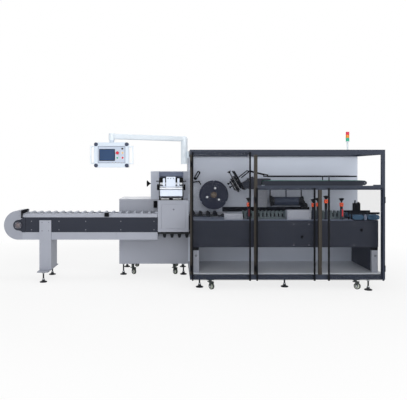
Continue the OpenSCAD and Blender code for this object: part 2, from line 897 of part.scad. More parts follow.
module infeed_side_frames() {
  color(dark_colour) {
    block(side_x, infeed_y, side_z, front_side_end - side_x, side_w, panel_h);
    block(side_x, inner_back, side_z, rear_side_end - side_x, side_w, panel_h);
    block(-cabinet_l, inner_back, side_z, cabinet_l + rear_side_end, guard_d - inner_back, panel_h);
    for (x = side_tie_x) bar_y(x, infeed_y + side_w - 1, wheel_z, side_tie_r, infeed_w - 2 * side_w + 2);
    difference() {
      union() {
        bar_y(left_wheel_x, infeed_y - boss_t, wheel_z, boss_r, boss_t);
        block(left_wheel_x, infeed_y - boss_t, side_z, side_x - left_wheel_x + 40, boss_t, panel_h);
      }
      bar_y(left_wheel_x, infeed_y - boss_t - 1, wheel_z, wheel_shaft_r + 1, boss_t + 2);
      bar_y(left_wheel_x, infeed_y - boss_t - 1, wheel_z + 2 * boss_r, boss_r, boss_t + 2);
      bar_y(left_wheel_x, infeed_y - boss_t - 1, wheel_z - 2 * boss_r, boss_r, boss_t + 2);
    }
  }
}

module infeed_rails() {
  joint_w = 3;
  color(panel_colour) difference() {
    for (z = [[side_top, rail_h], [side_z - low_rail_h, low_rail_h]]) {
      block(side_x, infeed_y, z[0], front_side_end - side_x, side_w, z[1]);
      block(side_x, inner_back, z[0], rear_side_end - side_x, side_w, z[1]);
    }
    block(-cabinet_l, infeed_y - 1, side_z - low_rail_h - 1, joint_w, joint_w + 1, low_rail_h + 2);
  }
}

module end_outline(r, past) {
  translate([left_wheel_x, wheel_z]) intersection() {
    union() {
      circle(r, $fn = 96);
      translate([0, -r]) square([2 * r, 2 * r]);
    }
    translate([-2 * r, -2 * r]) square([2 * r + side_x - left_wheel_x + past, 4 * r]);
  }
}

module infeed_end_guard() {
  color(panel_colour) difference() {
    run_back(infeed_y, infeed_w) end_outline(end_r, 0);
    run_back(infeed_y + end_plate_w, infeed_w - 2 * end_plate_w) end_outline(end_r - end_wrap_t, 1);
    bar_y(left_wheel_x, infeed_y - 1, wheel_z, wheel_shaft_r + 1, infeed_w + 2);
  }
}

module chain_wheels() {
  rim_y = run_y + 12;
  rim_w = run_w - 24;
  color(steel_colour) {
    for (x = [left_wheel_x, far_wheel_x])
      bar_y(x, rim_y, wheel_z, floor_r - band_t - wheel_gap, rim_w);
    bar_y(left_wheel_x, infeed_y - boss_t, wheel_z, wheel_shaft_r, infeed_w + boss_t);
    bar_y(far_wheel_x, run_y - 2, wheel_z, wheel_shaft_r, inner_back - run_y + 2);
  }
}

module bucket_chain() {
  color(black_colour) run_back(run_y, run_w)
    belt_loop(left_wheel_x, far_wheel_x, wheel_z, floor_r - band_t, band_t);
}

// Place on the loop at the distance s from the left wheel's top: x, z, turn and lift
function loop_place(s) =
  s < straight_l ? [left_wheel_x + s, wheel_z + floor_r, 0, 0] :
  s < straight_l + arc_l ? arc_place(far_wheel_x, (s - straight_l) / floor_r * 180 / PI) :
  s < 2 * straight_l + arc_l ? [far_wheel_x - (s - straight_l - arc_l), wheel_z - floor_r, 180, 0] :
  arc_place(left_wheel_x, 180 + (s - 2 * straight_l - arc_l) / floor_r * 180 / PI);

function arc_place(x, turn) =
  [x + floor_r * sin(turn), wheel_z + floor_r * cos(turn), turn, arc_lift];

module bucket_flights() {
  color([0.10, 0.11, 0.11]) for (i = [0:flight_count - 1]) {
    p = loop_place((i + 0.5) * loop_l / flight_count);
    translate([p[0], run_y, p[1]]) rotate([0, p[2], 0]) translate([0, 0, p[3]]) run_back(0, run_w)
      polygon([
        [-flight_foot / 2, 0], [flight_foot / 2, 0], [flight_tip / 2 + 7, flight_h - 7],
        [flight_tip / 2, flight_h], [-flight_tip / 2, flight_h], [-flight_tip / 2 - 7, flight_h - 7]
      ]);
  }
}

module infeed_leg() {
  leg_low = leg_plate_z + leg_plate_t;
  plate_inset = 7;
  color(panel_colour) {
    block(leg_x, infeed_y - cheek_t, leg_low, leg_w, infeed_w + 2 * cheek_t, leg_top - leg_low);
    for (y = [infeed_y - cheek_t, infeed_back])
      block(leg_x, y, leg_top - 1, leg_w, cheek_t, cheek_top - leg_top + 1);
    block(leg_x + plate_inset, leg_plate_y, leg_plate_z, leg_w - 2 * plate_inset, leg_plate_d,
      leg_plate_t + 1);
  }
}

module sensor_heads() {
  slot_x = 122;
  slot_z = 1404;
  color(black_colour) {
    translate([side_x, 0, side_top]) run_back(infeed_y - 30, 30) polygon([
      [-11, -8], [-1, -8], [2, 46], [76, 78], [76, 120], [-11, 94]
    ]);
    block(-1129, infeed_y - 24, 854, 59, 24, 54);
    block(-487, guard_d - 32, 951, 49, 32, 93);
    block(2165, rear_guide_y - 15, out_rail_z + guide_h, 90, 40, 96);
    bar_z(2192, rear_guide_y + 5, out_rail_z + guide_h + 90, 9, 44);
    bar_z(2236, rear_guide_y + 5, out_rail_z + guide_h + 90, 12, 20);
    // Slotted link and angle arm on the main wall
    difference() {
      translate([slot_x, guard_d - 60, slot_z]) rotate([0, -60, 0]) translate([-slot_x, 0, -slot_z])
        run_back(0, 14) track(slot_x - 46, slot_x + 46, slot_z, 24);
      translate([slot_x, guard_d - 61, slot_z]) rotate([0, -60, 0]) translate([-slot_x, 0, -slot_z])
        run_back(0, 16) track(slot_x - 24, slot_x + 40, slot_z, 9);
    }
    bar_y(slot_x - 20, guard_d - 48, slot_z - 35, 10, 48);
    run_back(guard_d - 40, 14) strip_outline([[66, 1308], [152, 1322], [176, 1276]], 8);
    bar_y(80, guard_d - 27, 1310, 9, 27);
  }
}

// Cabinets

module drive_cabinet() {
  color(panel_colour)
    block(-cabinet_l, guard_d, cabinet_z, cabinet_l, housing_d, cabinet_top - cabinet_z);
}

module upper_cabinet() {
  inset = 10;
  color(panel_colour) block(-upper_l, guard_d + inset, cabinet_top, upper_l, housing_d - 2 * inset,
    upper_top - cabinet_top);
}

// Leaflet station

module leaflet_housing() {
  rim = [49, 43, 39, 50];
  groove = 4;
  deck_y = leaflet_y + leaflet_d - 1;
  color(panel_colour) {
    translate([leaflet_x, leaflet_y, leaflet_z]) difference() {
      cube([leaflet_l, leaflet_d, leaflet_top - leaflet_z]);
      translate([rim[0], -1, rim[1]]) difference() {
        cube([leaflet_l - rim[0] - rim[2], groove + 1, leaflet_top - leaflet_z - rim[1] - rim[3]]);
        translate([groove, -1, groove])
          cube([leaflet_l - rim[0] - rim[2] - 2 * groove, groove + 3,
            leaflet_top - leaflet_z - rim[1] - rim[3] - 2 * groove]);
      }
    }
    block(leaflet_x, deck_y, leaflet_top - leaflet_deck_t, leaflet_l, guard_d - deck_y, leaflet_deck_t);
  }
}

module folder_frame() {
  bar_h = 34;
  color(black_colour) {
    for (x = [folder_x, folder_end - folder_plate_t])
      run_along(x, folder_plate_t) translate([folder_y, leaflet_top]) polygon([
        [0, 0], [folder_d, 0], [folder_d, 0.58 * folder_h], [0.80 * folder_d, folder_h],
        [0.34 * folder_d, folder_h], [0.06 * folder_d, 0.62 * folder_h], [0, 0.2 * folder_h]
      ]);
    // Base bar with two slots, and the hopper across the top
    difference() {
      block(folder_x + 1, folder_y, leaflet_top, folder_l - 2, 20, bar_h);
      for (x = [folder_x + 26, folder_x + 190]) block(x, folder_y - 1, leaflet_top + 12, 112, 22, 11);
    }
    translate([folder_x + 1, folder_y + 0.34 * folder_d, leaflet_top + folder_h - 62]) rotate([-24, 0, 0])
      cube([folder_l - 2, 10, 62]);
    block(folder_x + 1, folder_y + 0.8 * folder_d - 20, leaflet_top + 0.5 * folder_h, folder_l - 2, 10,
      0.46 * folder_h);
  }
}

module folder_plates() {
  inner_x = folder_x + folder_plate_t;
  inner_l = folder_l - 2 * folder_plate_t;
  hole_r = 7;
  color(steel_colour) {
    // Lower tray, leaning back
    translate([inner_x, folder_y + 16, leaflet_top + 54]) rotate([-14, 0, 0]) cube([inner_l, 8, 90]);
    // Upper fold plate with its three holes
    translate([inner_x + 84, folder_y + 40, leaflet_top + 170]) rotate([-18, 0, 0]) difference() {
      cube([128, 8, 152]);
      for (x = [26, 62, 98]) bar_y(x, -1, 128, hole_r, 10);
    }
    block(inner_x, folder_y + 36, leaflet_top + 178, inner_l, 70, 8);
    for (x = [inner_x + 40, inner_x + inner_l - 70])
      translate([x, folder_y + 52, leaflet_top + 150]) rotate([-18, 0, 0]) cube([30, 10, 150]);
  }
}

module folder_rollers() {
  inner_x = folder_x + folder_plate_t;
  inner_l = folder_l - 2 * folder_plate_t;
  // Rollers between the side plates: place and radius
  rollers = [[30, 156, 13], [92, 132, 20], [136, 160, 20], [150, 214, 20]];
  color(steel_colour) for (p = rollers) bar_x(inner_x, folder_y + p[0], leaflet_top + p[1], p[2], inner_l);
}

module hand_knob(stem_l) {
  rotate_extrude() polygon([
    [0, 0], [7, 0], [7, stem_l], [34, stem_l + 4], [38, stem_l + 12], [34, stem_l + 20], [0, stem_l + 20]
  ]);
}

module folder_knobs() {
  star_l = 58;
  color(black_colour) {
    for (side = [[folder_x, -90], [folder_end, 90]]) {
      translate([side[0], folder_y + 92, leaflet_top + 172]) rotate([0, side[1], 0]) hand_knob(8);
      translate([side[0], folder_y + 150, leaflet_top + 252]) rotate([0, side[1], 0]) cylinder(r = 6, h = 42);
    }
    translate([-upper_l, guard_d + 60, 1288]) rotate([0, -90, 0]) rotate_extrude() polygon([
      [0, 0], [7, 0], [7, 12], [44, star_l - 8], [44, star_l], [0, star_l]
    ]);
  }
}

// Control panel on its pendant arm

module arm_bracket() {
  plate_t = 12;
  plate_z = top_beam_z - 30;
  socket_z = guard_top - 170;
  color(white_colour) difference() {
    union() {
      block(-plate_t, arm_y - 60, plate_z, plate_t, 120, guard_top - plate_z);
      block(-arm_x, arm_y - 22, plate_z, arm_x - plate_t + 1, 44, guard_top - plate_z);
      bar_z(-arm_x, arm_y, socket_z, swivel_r, swivel_z - socket_z);
    }
    bar_z(-arm_x, arm_y, swivel_z - spigot_l - 5, spigot_r + swivel_run, spigot_l + 6);
  }
}

// Half outline of an arm hub with a rounded top edge
module arm_hub(r, low, dome) {
  translate([0, low]) square([r - dome, arm_top - low]);
  translate([0, low]) square([r, arm_top - dome - low]);
  translate([r - dome, arm_top - dome]) intersection() {
    circle(dome);
    square(dome);
  }
}

module pendant_arm() {
  end_r = swivel_r - 6;
  dome = 16;
  color(white_colour) difference() {
    union() {
      translate([-arm_x, arm_y, 0]) rotate_extrude() arm_hub(swivel_r, swivel_z + swivel_gap, dome);
      bar_z(-arm_x, arm_y, swivel_z - spigot_l, spigot_r, spigot_l + 2);
      translate([-arm_x, arm_y, arm_z - arm_tube / 2]) rotate(180 + arm_angle)
        translate([0, -arm_tube / 2, 0]) cube([arm_l, arm_tube, arm_tube]);
      translate([panel_x, panel_y, 0]) rotate_extrude() arm_hub(end_r, neck_top, dome);
    }
    bar_z(panel_x, panel_y, neck_top - 1, spigot_r + swivel_run, spigot_l - 10);
  }
}

module panel_outline() {
  difference() {
    translate([panel_x - panel_w / 2, panel_low]) square([panel_w, panel_tall]);
    for (sx = [-1, 1], sz = [-1, 1])
      translate([panel_x + sx * (panel_w - cap_side) / 2, panel_z + sz * (panel_tall - cap_side) / 2])
        square(cap_side, center = true);
  }
}

module panel_box() {
  color(white_colour) {
    difference() {
      run_back(panel_front, panel_d) panel_outline();
      block(panel_x - 166, panel_front - 1, panel_z - 101, 337, panel_recess + 1, 209);
    }
    bar_z(panel_x, panel_y, panel_top - 1, neck_r, neck_top - swivel_gap - panel_top + 1);
    bar_z(panel_x, panel_y, panel_top - 1, spigot_r, neck_top - panel_top + spigot_l - 20);
  }
}

module panel_caps() {
  color(black_colour) run_back(panel_front, panel_d) for (sx = [-1, 1], sz = [-1, 1])
    translate([panel_x + sx * (panel_w / 2 - cap_side), panel_z + sz * (panel_tall / 2 - cap_side)])
      intersection() {
        circle(cap_side);
        translate([sx < 0 ? -cap_side : 0, sz < 0 ? -cap_side : 0]) square(cap_side);
      }
}

module panel_screen() {
  offset_x = -53;
  proud = 4;
  color([0.2, 0.3, 0.45])
    block(panel_x + offset_x - screen_w / 2, panel_front + panel_recess - proud, panel_z - screen_h / 2,
      screen_w, proud, screen_h);
}

module panel_buttons() {
  // Each button: place on the panel's face, radius and how far it stands out
  buttons = [
    [75, 25, 18, 20], [135, 77, 12, 12], [138, 26, 14, 10], [74, -35, 13, 10], [138, -36, 14, 10],
    [17, -93, 5, 5], [54, -93, 5, 5], [92, -93, 5, 5], [133, -93, 5, 5]
  ];
  color([0.8, 0.15, 0.15]) for (b = buttons)
    bar_y(panel_x + b[0], panel_front + panel_recess - b[3], panel_z + b[1], b[2], b[3]);
}

module panel_handles() {
  grip = 16;
  reach = 56;
  half = 112;
  color(white_colour) for (s = [-1, 1]) {
    face = panel_x + s * panel_w / 2;
    difference() {
      span(face, face + s * reach, panel_y - grip / 2, panel_z - half, grip, 2 * half);
      span(face - s, face + s * (reach - grip), panel_y - grip, panel_z - half + grip, 2 * grip,
        2 * (half - grip));
    }
  }
}

// Signal tower

module signal_pole() {
  pole_r = 11;
  color(white_colour) translate([tower_x, rear_beam_y + tube / 2, guard_top]) rotate_extrude() polygon([
    [0, 0], [lens_r - 5, 0], [lens_r - 5, 10], [pole_r, 14], [pole_r, tower_pole_h - 15],
    [lens_r, tower_pole_h - 10], [lens_r, tower_pole_h], [0, tower_pole_h]
  ]);
}

module signal_lenses() {
  lens_gap = 0.4;
  color([0.95, 0.6, 0.15]) for (i = [0:2])
    bar_z(tower_x, rear_beam_y + tube / 2, guard_top + tower_pole_h + lens_gap + i * (lens_h + lens_gap),
      lens_r, lens_h);
}

// Feet and casters

module levelling_feet() {
  color(black_colour) for (f = feet) translate([f[0], f[1], 0]) rotate_extrude() polygon([
    [0, 0], [foot_r, 0], [foot_r, 9], [foot_r * 0.55, 17], [stem_r + 8, 24], [stem_r + 8, 38], [stem_r, 38],
    [stem_r, f[2]], [0, f[2]]
  ]);
}

module caster_forks() {
  cheek_y = caster_w / 2 + caster_side_gap;
  crown_z = caster_z + caster_r + 6;
  crown_h = 9;
  color(black_colour) for (c = casters) translate([c[0], c[1], 0]) {
    block(-caster_plate[0] / 2, -caster_plate[1] / 2, c[2] - caster_plate[2],
      caster_plate[0], caster_plate[1], caster_plate[2]);
    rotate(c[3]) {
      bar_z(0, 0, crown_z, 20, c[2] - caster_plate[2] - crown_z + 1);
      block(-24, -cheek_y - caster_cheek_t, crown_z, 24 + caster_trail + 20,
        2 * (cheek_y + caster_cheek_t), crown_h);
      for (y = [-cheek_y - caster_cheek_t, cheek_y]) {
        block(caster_trail - 16, y, caster_z, 32, caster_cheek_t, crown_z - caster_z + 1);
        bar_y(caster_trail, y, caster_z, 16, caster_cheek_t);
      }
      bar_y(caster_trail, -cheek_y - 1, caster_z, caster_axle_r, 2 * cheek_y + 2);
    }
  }
}

module caster_wheels() {
  axle_run = 0.2;
  crown = 4;
  half = caster_w / 2;
  color([0.72, 0.76, 0.72]) for (c = casters) translate([c[0], c[1], caster_z]) rotate(c[3])
    translate([caster_trail, 0, 0]) rotate([90, 0, 0]) rotate_extrude() polygon([
      [caster_axle_r + axle_run, -half], [caster_r * 0.55, -half], [caster_r * 0.6, -half + 4],
      [caster_r - 8, -half + 4], [caster_r - crown, -half], [caster_r, -half + crown],
      [caster_r, half - crown],
      [caster_r - crown, half], [caster_r - 8, half - 4], [caster_r * 0.6, half - 4], [caster_r * 0.55, half],
      [caster_axle_r + axle_run, half]
    ]);
}

module set_down() {
  translate([guard_x0, guard_y0, 0]) children();
}

set_down() guard_posts();
set_down() guard_long_beams();
set_down() guard_cross_beams();
set_down() floor_pan();
set_down() main_wall();
set_down() rear_housing();
set_down() door_hinges();
set_down() left_door_leaf();
set_down() left_door_profiles();
set_down() middle_door_leaf();
set_down() middle_door_profiles();
set_down() right_door_leaf();
set_down() right_door_profiles();
set_down() side_panel();
set_down() apron_panels();
set_down() transport_bed();
set_down() deck_plate();
set_down() bed_pedestals();
set_down() carton_lugs();
set_down() grey_covers();
set_down() spindles();
set_down() position_indicators();
set_down() carton_reel();
set_down() shaft_bearings();
set_down() magazine_frame();
set_down() magazine_belt();
set_down() belt_rollers();
set_down() carton_guides();
set_down() feed_chute();
set_down() pick_head();
set_down() folding_drum();
set_down() discharge_belts();
set_down() infeed_side_frames();
set_down() infeed_rails();
set_down() infeed_end_guard();
set_down() chain_wheels();
set_down() bucket_chain();
set_down() bucket_flights();
set_down() infeed_leg();
set_down() sensor_heads();
set_down() drive_cabinet();
set_down() upper_cabinet();
set_down() leaflet_housing();
set_down() folder_frame();
set_down() folder_plates();
set_down() folder_rollers();
set_down() folder_knobs();
set_down() arm_bracket();
set_down() pendant_arm();
set_down() panel_box();
set_down() panel_caps();
set_down() panel_screen();
set_down() panel_buttons();
set_down() panel_handles();
set_down() signal_pole();
set_down() signal_lenses();
set_down() levelling_feet();
set_down() caster_forks();
set_down() caster_wheels();
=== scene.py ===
"""Looks of an automatic cartoner: materials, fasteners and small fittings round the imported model.

Places are in millimetres from the guard's left front corner on the floor, unless a comment says metres.
"""
import json
import math

import bmesh
import bpy
from mathutils import Matrix, Vector

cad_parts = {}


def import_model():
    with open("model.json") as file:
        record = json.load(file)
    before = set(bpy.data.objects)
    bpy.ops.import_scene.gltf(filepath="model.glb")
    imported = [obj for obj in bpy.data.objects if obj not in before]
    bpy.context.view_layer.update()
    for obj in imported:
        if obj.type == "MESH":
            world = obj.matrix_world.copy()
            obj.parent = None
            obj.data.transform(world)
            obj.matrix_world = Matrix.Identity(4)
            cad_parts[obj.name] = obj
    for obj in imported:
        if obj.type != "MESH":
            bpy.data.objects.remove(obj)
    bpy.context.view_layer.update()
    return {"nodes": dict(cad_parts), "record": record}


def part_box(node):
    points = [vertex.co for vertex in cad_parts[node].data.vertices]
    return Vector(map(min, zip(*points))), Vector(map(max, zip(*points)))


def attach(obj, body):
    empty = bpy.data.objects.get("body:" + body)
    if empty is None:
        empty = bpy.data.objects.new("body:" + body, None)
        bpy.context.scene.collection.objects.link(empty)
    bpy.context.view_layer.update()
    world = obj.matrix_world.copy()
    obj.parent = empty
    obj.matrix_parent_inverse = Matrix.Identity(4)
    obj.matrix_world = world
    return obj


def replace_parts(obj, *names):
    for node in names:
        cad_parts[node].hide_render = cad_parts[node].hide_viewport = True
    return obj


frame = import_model()
nodes = frame["nodes"]
scene = bpy.context.scene

# The guard's left front corner in the shared frame, in metres
GUARD = Vector((0.040, -0.745, 0.0))

UP = (0, 0, 1)
FRONT = (0, -1, 0)
LEFT = (-1, 0, 0)
RIGHT = (1, 0, 0)

# Front faces that carry fittings, as depths behind the guard's front
APRON_Y = 110
COVER_Y = 132
LEG_Y = 535
INFEED_Y = 545

# Top of the deck plate
DECK_Z = 856

# Bearing at the infeed's left end
BEARING_X = -2285
BEARING_Y = 521
BEARING_Z = 740

# Axis of the carton reel, the fronts of its disc and hub, and the middle and front of its shaft's collar
REEL_X = 347
REEL_Z = 1138
REEL_DISC_Y = 693
REEL_HUB_Y = 681
COLLAR_MID_Y = 675
COLLAR_FRONT_Y = 668.6

# Swivel of the pendant arm, the arm's length and turn, and the axis at its far end
ARM_X = -60
ARM_Y = 560
ARM_L = 1040
ARM_TURN = math.radians(29)
NECK_X = ARM_X - ARM_L * math.cos(ARM_TURN)
NECK_Y = ARM_Y - ARM_L * math.sin(ARM_TURN)

# Distance of the control panel's front from the neck's axis, and the height of its middle
PANEL_FRONT = 45
PANEL_Z = 1666

# Place and heading of each caster, the height of its axle, and its trail in metres
CASTERS = [
    (250, 52, -50), (2050, 52, -40), (250, 1470, -30), (2050, 1470, -55),
    (-784, 936, -48), (-196, 936, -52), (-784, 1470, -40), (-196, 1470, -25),
]
CASTER_Z = 45
CASTER_TRAIL = 0.025

# Place of each levelling foot and the height of the frame's underside over it
FEET = [
    (125, 170, 130), (1204, 190, 130), (2199, 20, 130),
    (125, 1470, 130), (1204, 1470, 130), (2199, 1470, 130),
    (-916, 930, 160), (-65, 930, 160), (-916, 1470, 160), (-65, 1470, 160),
    (-1923, 445, 134), (-1923, 918, 134),
]

# Place along the guard of each adjusting spindle, then how high its top and indicator are over the deck
SPINDLES = [(744, 270, 166), (1564, 256, 160), (1622, 268, 164), (1725, 296, 206), (1921, 266, 164)]
SPINDLE_Y = 172

# Columns and rows of screws, the face that they sit on and their radius
SCREWS = [
    ((-2110, -1741, -1383, -912, -467), (792, 678), INFEED_Y, 4),
    ((-1966, -1878), (778, 665), LEG_Y, 4),
    ((1302, 1492, 2057), (800, 540), APRON_Y, 5),
    ((78, 2324), (407,), APRON_Y, 9),
    ((458, 648, 1246, 1508), (880,), COVER_Y, 4),
    ((1246, 1508), (950,), COVER_Y, 4),
    ((2315,), (1310,), 430, 5),
]

# Foot of the pick head on the tilted chute, and the front of its clamp plates
HEAD_X = 662
HEAD_Z = 1171
HEAD_Y = 470
HEAD_TILT = math.radians(30)

# Clamp plates with bright strips that are painted highlights on their front edges: distance along the
# chute, low and high end over it
HEAD_STRIPS = [(-14, 46, 190), (34, 20, 222)]


def at(x, y, z):
    """A point in millimetres from the guard's left front corner, as metres in the shared frame."""
    return Vector((x, y, z)) / 1000 + GUARD


def on_panel(x, z, y=0.0):
    """A point on the control panel's front, in millimetres from its middle."""
    return at(NECK_X + x, NECK_Y - PANEL_FRONT + y, PANEL_Z + z)


def on_head(u, y, w):
    """A point of the pick head, from its distance along the tilted chute and its height over it."""
    x = u * math.cos(HEAD_TILT) - w * math.sin(HEAD_TILT)
    z = u * math.sin(HEAD_TILT) + w * math.cos(HEAD_TILT)
    return at(HEAD_X + x, y, HEAD_Z + z)


def caster_axle(x, y, yaw):
    """Middle of a caster's wheel and the way along its axle."""
    a = math.radians(yaw)
    trail = Vector((math.cos(a), math.sin(a), 0))
    return at(x, y, CASTER_Z) + trail * CASTER_TRAIL, Vector((-trail.y, trail.x, 0))


# Material helpers

# Texture scales per metre and relief depths in metres
CLOUD_SCALE = 2.3
WEAR_SCALE = 35
PEEL_SCALE = 700
PEEL_DEPTH = 0.0004
PAINT_EDGE = 0.0025
BLOTCH_SCALE = 9
RUB_SCALE = 60
GRAIN_SCALE = 1100
FINE_DEPTH = 0.0003
FINE_EDGE = 0.0015
WEAVE_SCALE = 50
RIB_DEPTH = 0.0006

# Stretch of the streaks in brushed metal
ALONG_X = (8, 400, 400)
ALONG_Z = (300, 300, 8)
ALL_WAYS = (60, 60, 60)


class Surface:
    """A material whose node tree is built up a node at a time."""

    def __init__(self, name):
        self.mat = bpy.data.materials.new(name)
        self.mat.use_nodes = True
        self.tree = self.mat.node_tree
        self.shader = self.tree.nodes["Principled BSDF"]
        self.place = self.node("ShaderNodeTexCoord").outputs["Object"]

    def node(self, kind, **settings):
        """Adds a node with its settings."""
        made = self.tree.nodes.new(kind)
        for key, value in settings.items():
            setattr(made, key, value)
        return made

    def link(self, output, target):
        """Joins an output to an input."""
        self.tree.links.new(output, target)

    def feed(self, value, target):
        """Links an output to an input, or sets the input to a plain value."""
        if isinstance(value, bpy.types.NodeSocket):
            self.link(value, target)
        else:
            target.default_value = value

    def set(self, **values):
        """Sets inputs of the shader to uniform values."""
        for key, value in values.items():
            self.shader.inputs[key.replace("_", " ")].default_value = value
        return self

    def scaled(self, scale):
        """The place, stretched along the axes."""
        mapping = self.node("ShaderNodeMapping")
        mapping.inputs["Scale"].default_value = scale
        self.link(self.place, mapping.inputs["Vector"])
        return mapping.outputs["Vector"]

    def noise(self, scale, detail=3.0, stretch=None):
        """Cloudy noise, which may be stretched into streaks."""
        tex = self.node("ShaderNodeTexNoise")
        tex.inputs["Scale"].default_value = scale
        tex.inputs["Detail"].default_value = detail
        self.link(self.scaled(stretch) if stretch else self.place, tex.inputs["Vector"])
        return tex.outputs["Fac"]

    def bands(self, axis, scale):
        """Soft bands across an axis."""
        tex = self.node("ShaderNodeTexWave", wave_type="BANDS", bands_direction=axis)
        tex.inputs["Scale"].default_value = scale
        self.link(self.place, tex.inputs["Vector"])
        return tex.outputs["Fac"]

    def spread(self, value, low, high, start=0.3, end=0.7):
        """Maps a value from the range between start and end to the range between low and high."""
        ranged = self.node("ShaderNodeMapRange")
        ranged.inputs["From Min"].default_value = start
        ranged.inputs["From Max"].default_value = end
        ranged.inputs["To Min"].default_value = low
        ranged.inputs["To Max"].default_value = high
        self.link(value, ranged.inputs["Value"])
        return ranged.outputs["Result"]

    def math(self, operation, first, second):
        """Result of an operation on two values."""
        made = self.node("ShaderNodeMath", operation=operation)
        self.feed(first, made.inputs[0])
        self.feed(second, made.inputs[1])
        return made.outputs[0]

    def mix(self, factor, first, second):
        """Blend of two colours."""
        blend = self.node("ShaderNodeMix", data_type="RGBA")
        self.link(factor, blend.inputs["Factor"])
        for value, target in ((first, blend.inputs[6]), (second, blend.inputs[7])):
            self.feed((*value, 1) if isinstance(value, tuple) else value, target)
        return blend.outputs[2]

    def past(self, axis, level):
        """One beyond a level along an axis, nought before it."""
        split = self.node("ShaderNodeSeparateXYZ")
        self.link(self.place, split.inputs["Vector"])
        return self.math("GREATER_THAN", split.outputs[axis], level)

    def near(self, point, radius):
        """One inside a ball round a point, nought outside."""
        gap = self.node("ShaderNodeVectorMath", operation="DISTANCE")
        self.link(self.place, gap.inputs[0])
        gap.inputs[1].default_value = point
        return self.math("LESS_THAN", gap.outputs["Value"], radius)

    def cloudy(self, rgb, vary, scale, detail):
        """A colour whose tone drifts a little from place to place."""
        cloud = self.spread(self.noise(scale, detail), 0, 1)
        return self.mix(cloud, tint(rgb, 1 - vary), tint(rgb, 1 + vary))

    def coloured(self, tone, spots, parts):
        """Sets the colour, with other colours in balls and beyond levels."""
        for point, radius, other in spots:
            tone = self.mix(self.near(point, radius), tone, other)
        for axis, level, other in parts:
            tone = self.mix(self.past(axis, level), tone, other)
        self.colour(tone)

    def colour(self, output):
        """Sets the base colour."""
        self.link(output, self.shader.inputs["Base Color"])

    def rough(self, value, low, high):
        """Spreads the roughness over a range."""
        self.link(self.spread(value, low, high), self.shader.inputs["Roughness"])

    def relief(self, height, strength, depth, edge):
        """Fine bump over softened edges."""
        bump = self.node("ShaderNodeBump")
        bump.inputs["Strength"].default_value = strength
        bump.inputs["Distance"].default_value = depth
        self.link(height, bump.inputs["Height"])
        bevel = self.node("ShaderNodeBevel", samples=4)
        bevel.inputs["Radius"].default_value = edge
        self.link(bevel.outputs["Normal"], bump.inputs["Normal"])
        self.link(bump.outputs["Normal"], self.shader.inputs["Normal"])


def tint(rgb, k):
    """A colour made lighter or darker."""
    return tuple(min(1.0, c * k) for c in rgb)


def srgb(r, g, b):
    """A colour given as display values, as linear light."""
    out = []
    for v in (r, g, b):
        v /= 255
        out.append(v / 12.92 if v <= 0.04045 else ((v + 0.055) / 1.055) ** 2.4)
    return tuple(out)


def painted(name, rgb, rough=0.42, vary=0.05, shine=0.5, parts=()):
    """Powder-coated sheet: fine orange peel, faint cloudy tone and softened edges.

    Each of the parts is an axis, a level along it in metres and the colour of what lies beyond that level.
    """
    s = Surface(name)
    s.coloured(s.cloudy(rgb, vary, CLOUD_SCALE, 4), (), parts)
    s.rough(s.noise(WEAR_SCALE, 3), rough - 0.05, rough + 0.07)
    s.relief(s.noise(PEEL_SCALE, 2), 0.10, PEEL_DEPTH, PAINT_EDGE)
    return s.set(Specular_IOR_Level=shine).mat


def plastic(name, rgb, rough=0.5, grain=GRAIN_SCALE, shine=0.3, spots=(), parts=()):
    """Moulded plastic or rubber with a fine grain.

    Each of the spots is a point, a radius in metres and a colour; the parts are as for painted sheet.
    """
    s = Surface(name)
    s.coloured(s.cloudy(rgb, 0.06, BLOTCH_SCALE, 3), spots, parts)
    s.rough(s.noise(RUB_SCALE, 2), rough - 0.06, rough + 0.08)
    s.relief(s.noise(grain, 2), 0.15, FINE_DEPTH, FINE_EDGE)
    return s.set(Specular_IOR_Level=shine).mat


def brushed(name, rgb, stretch, rough=0.3, metallic=1.0):
    """Brushed metal: fine streaks that run along the axis with the smallest stretch."""
    s = Surface(name)
    streak = s.noise(1, 4, stretch)
    s.colour(s.mix(s.spread(streak, 0, 1), tint(rgb, 0.88), tint(rgb, 1.06)))
    s.rough(streak, rough - 0.08, rough + 0.12)
    s.relief(streak, 0.08, FINE_DEPTH, FINE_EDGE)
    return s.set(Metallic=metallic).mat


def ribbed(name, rgb, axis, scale, rough=0.6):
    """Belt rubber with a woven rib across its run."""
    s = Surface(name)
    rib = s.bands(axis, scale)
    s.colour(s.mix(rib, tint(rgb, 0.82), tint(rgb, 1.10)))
    s.rough(s.noise(WEAVE_SCALE, 2), rough - 0.06, rough + 0.08)
    s.relief(rib, 0.3, RIB_DEPTH, FINE_EDGE)
    return s.mat


def clear_leaf():
    """Lightly smoked clear sheet that still gives a soft gloss."""
    s = Surface("clear_leaf")
    s.rough(s.noise(4, 2), 0.04, 0.09)
    s.set(Base_Color=(*srgb(40, 44, 54), 1), Alpha=0.10, IOR=1.45, Specular_IOR_Level=0.2)
    return s.mat


# Colours of the object

FRAME_RGB = srgb(48, 54, 68)
WARM_RGB = srgb(54, 50, 45)
GREY_RGB = srgb(156, 160, 172)
WALL_RGB = srgb(196, 203, 218)
DARK_RGB = srgb(38, 42, 54)
BLACK_RGB = srgb(17, 18, 22)
PITCH_RGB = srgb(5, 5, 7)
WHITE_RGB = srgb(222, 231, 239)
STEEL_RGB = srgb(205, 208, 213)
RED_RGB = srgb(206, 38, 62)
GREEN_RGB = srgb(44, 158, 128)
AMBER_RGB = srgb(226, 190, 142)
BRONZE_RGB = srgb(96, 82, 68)

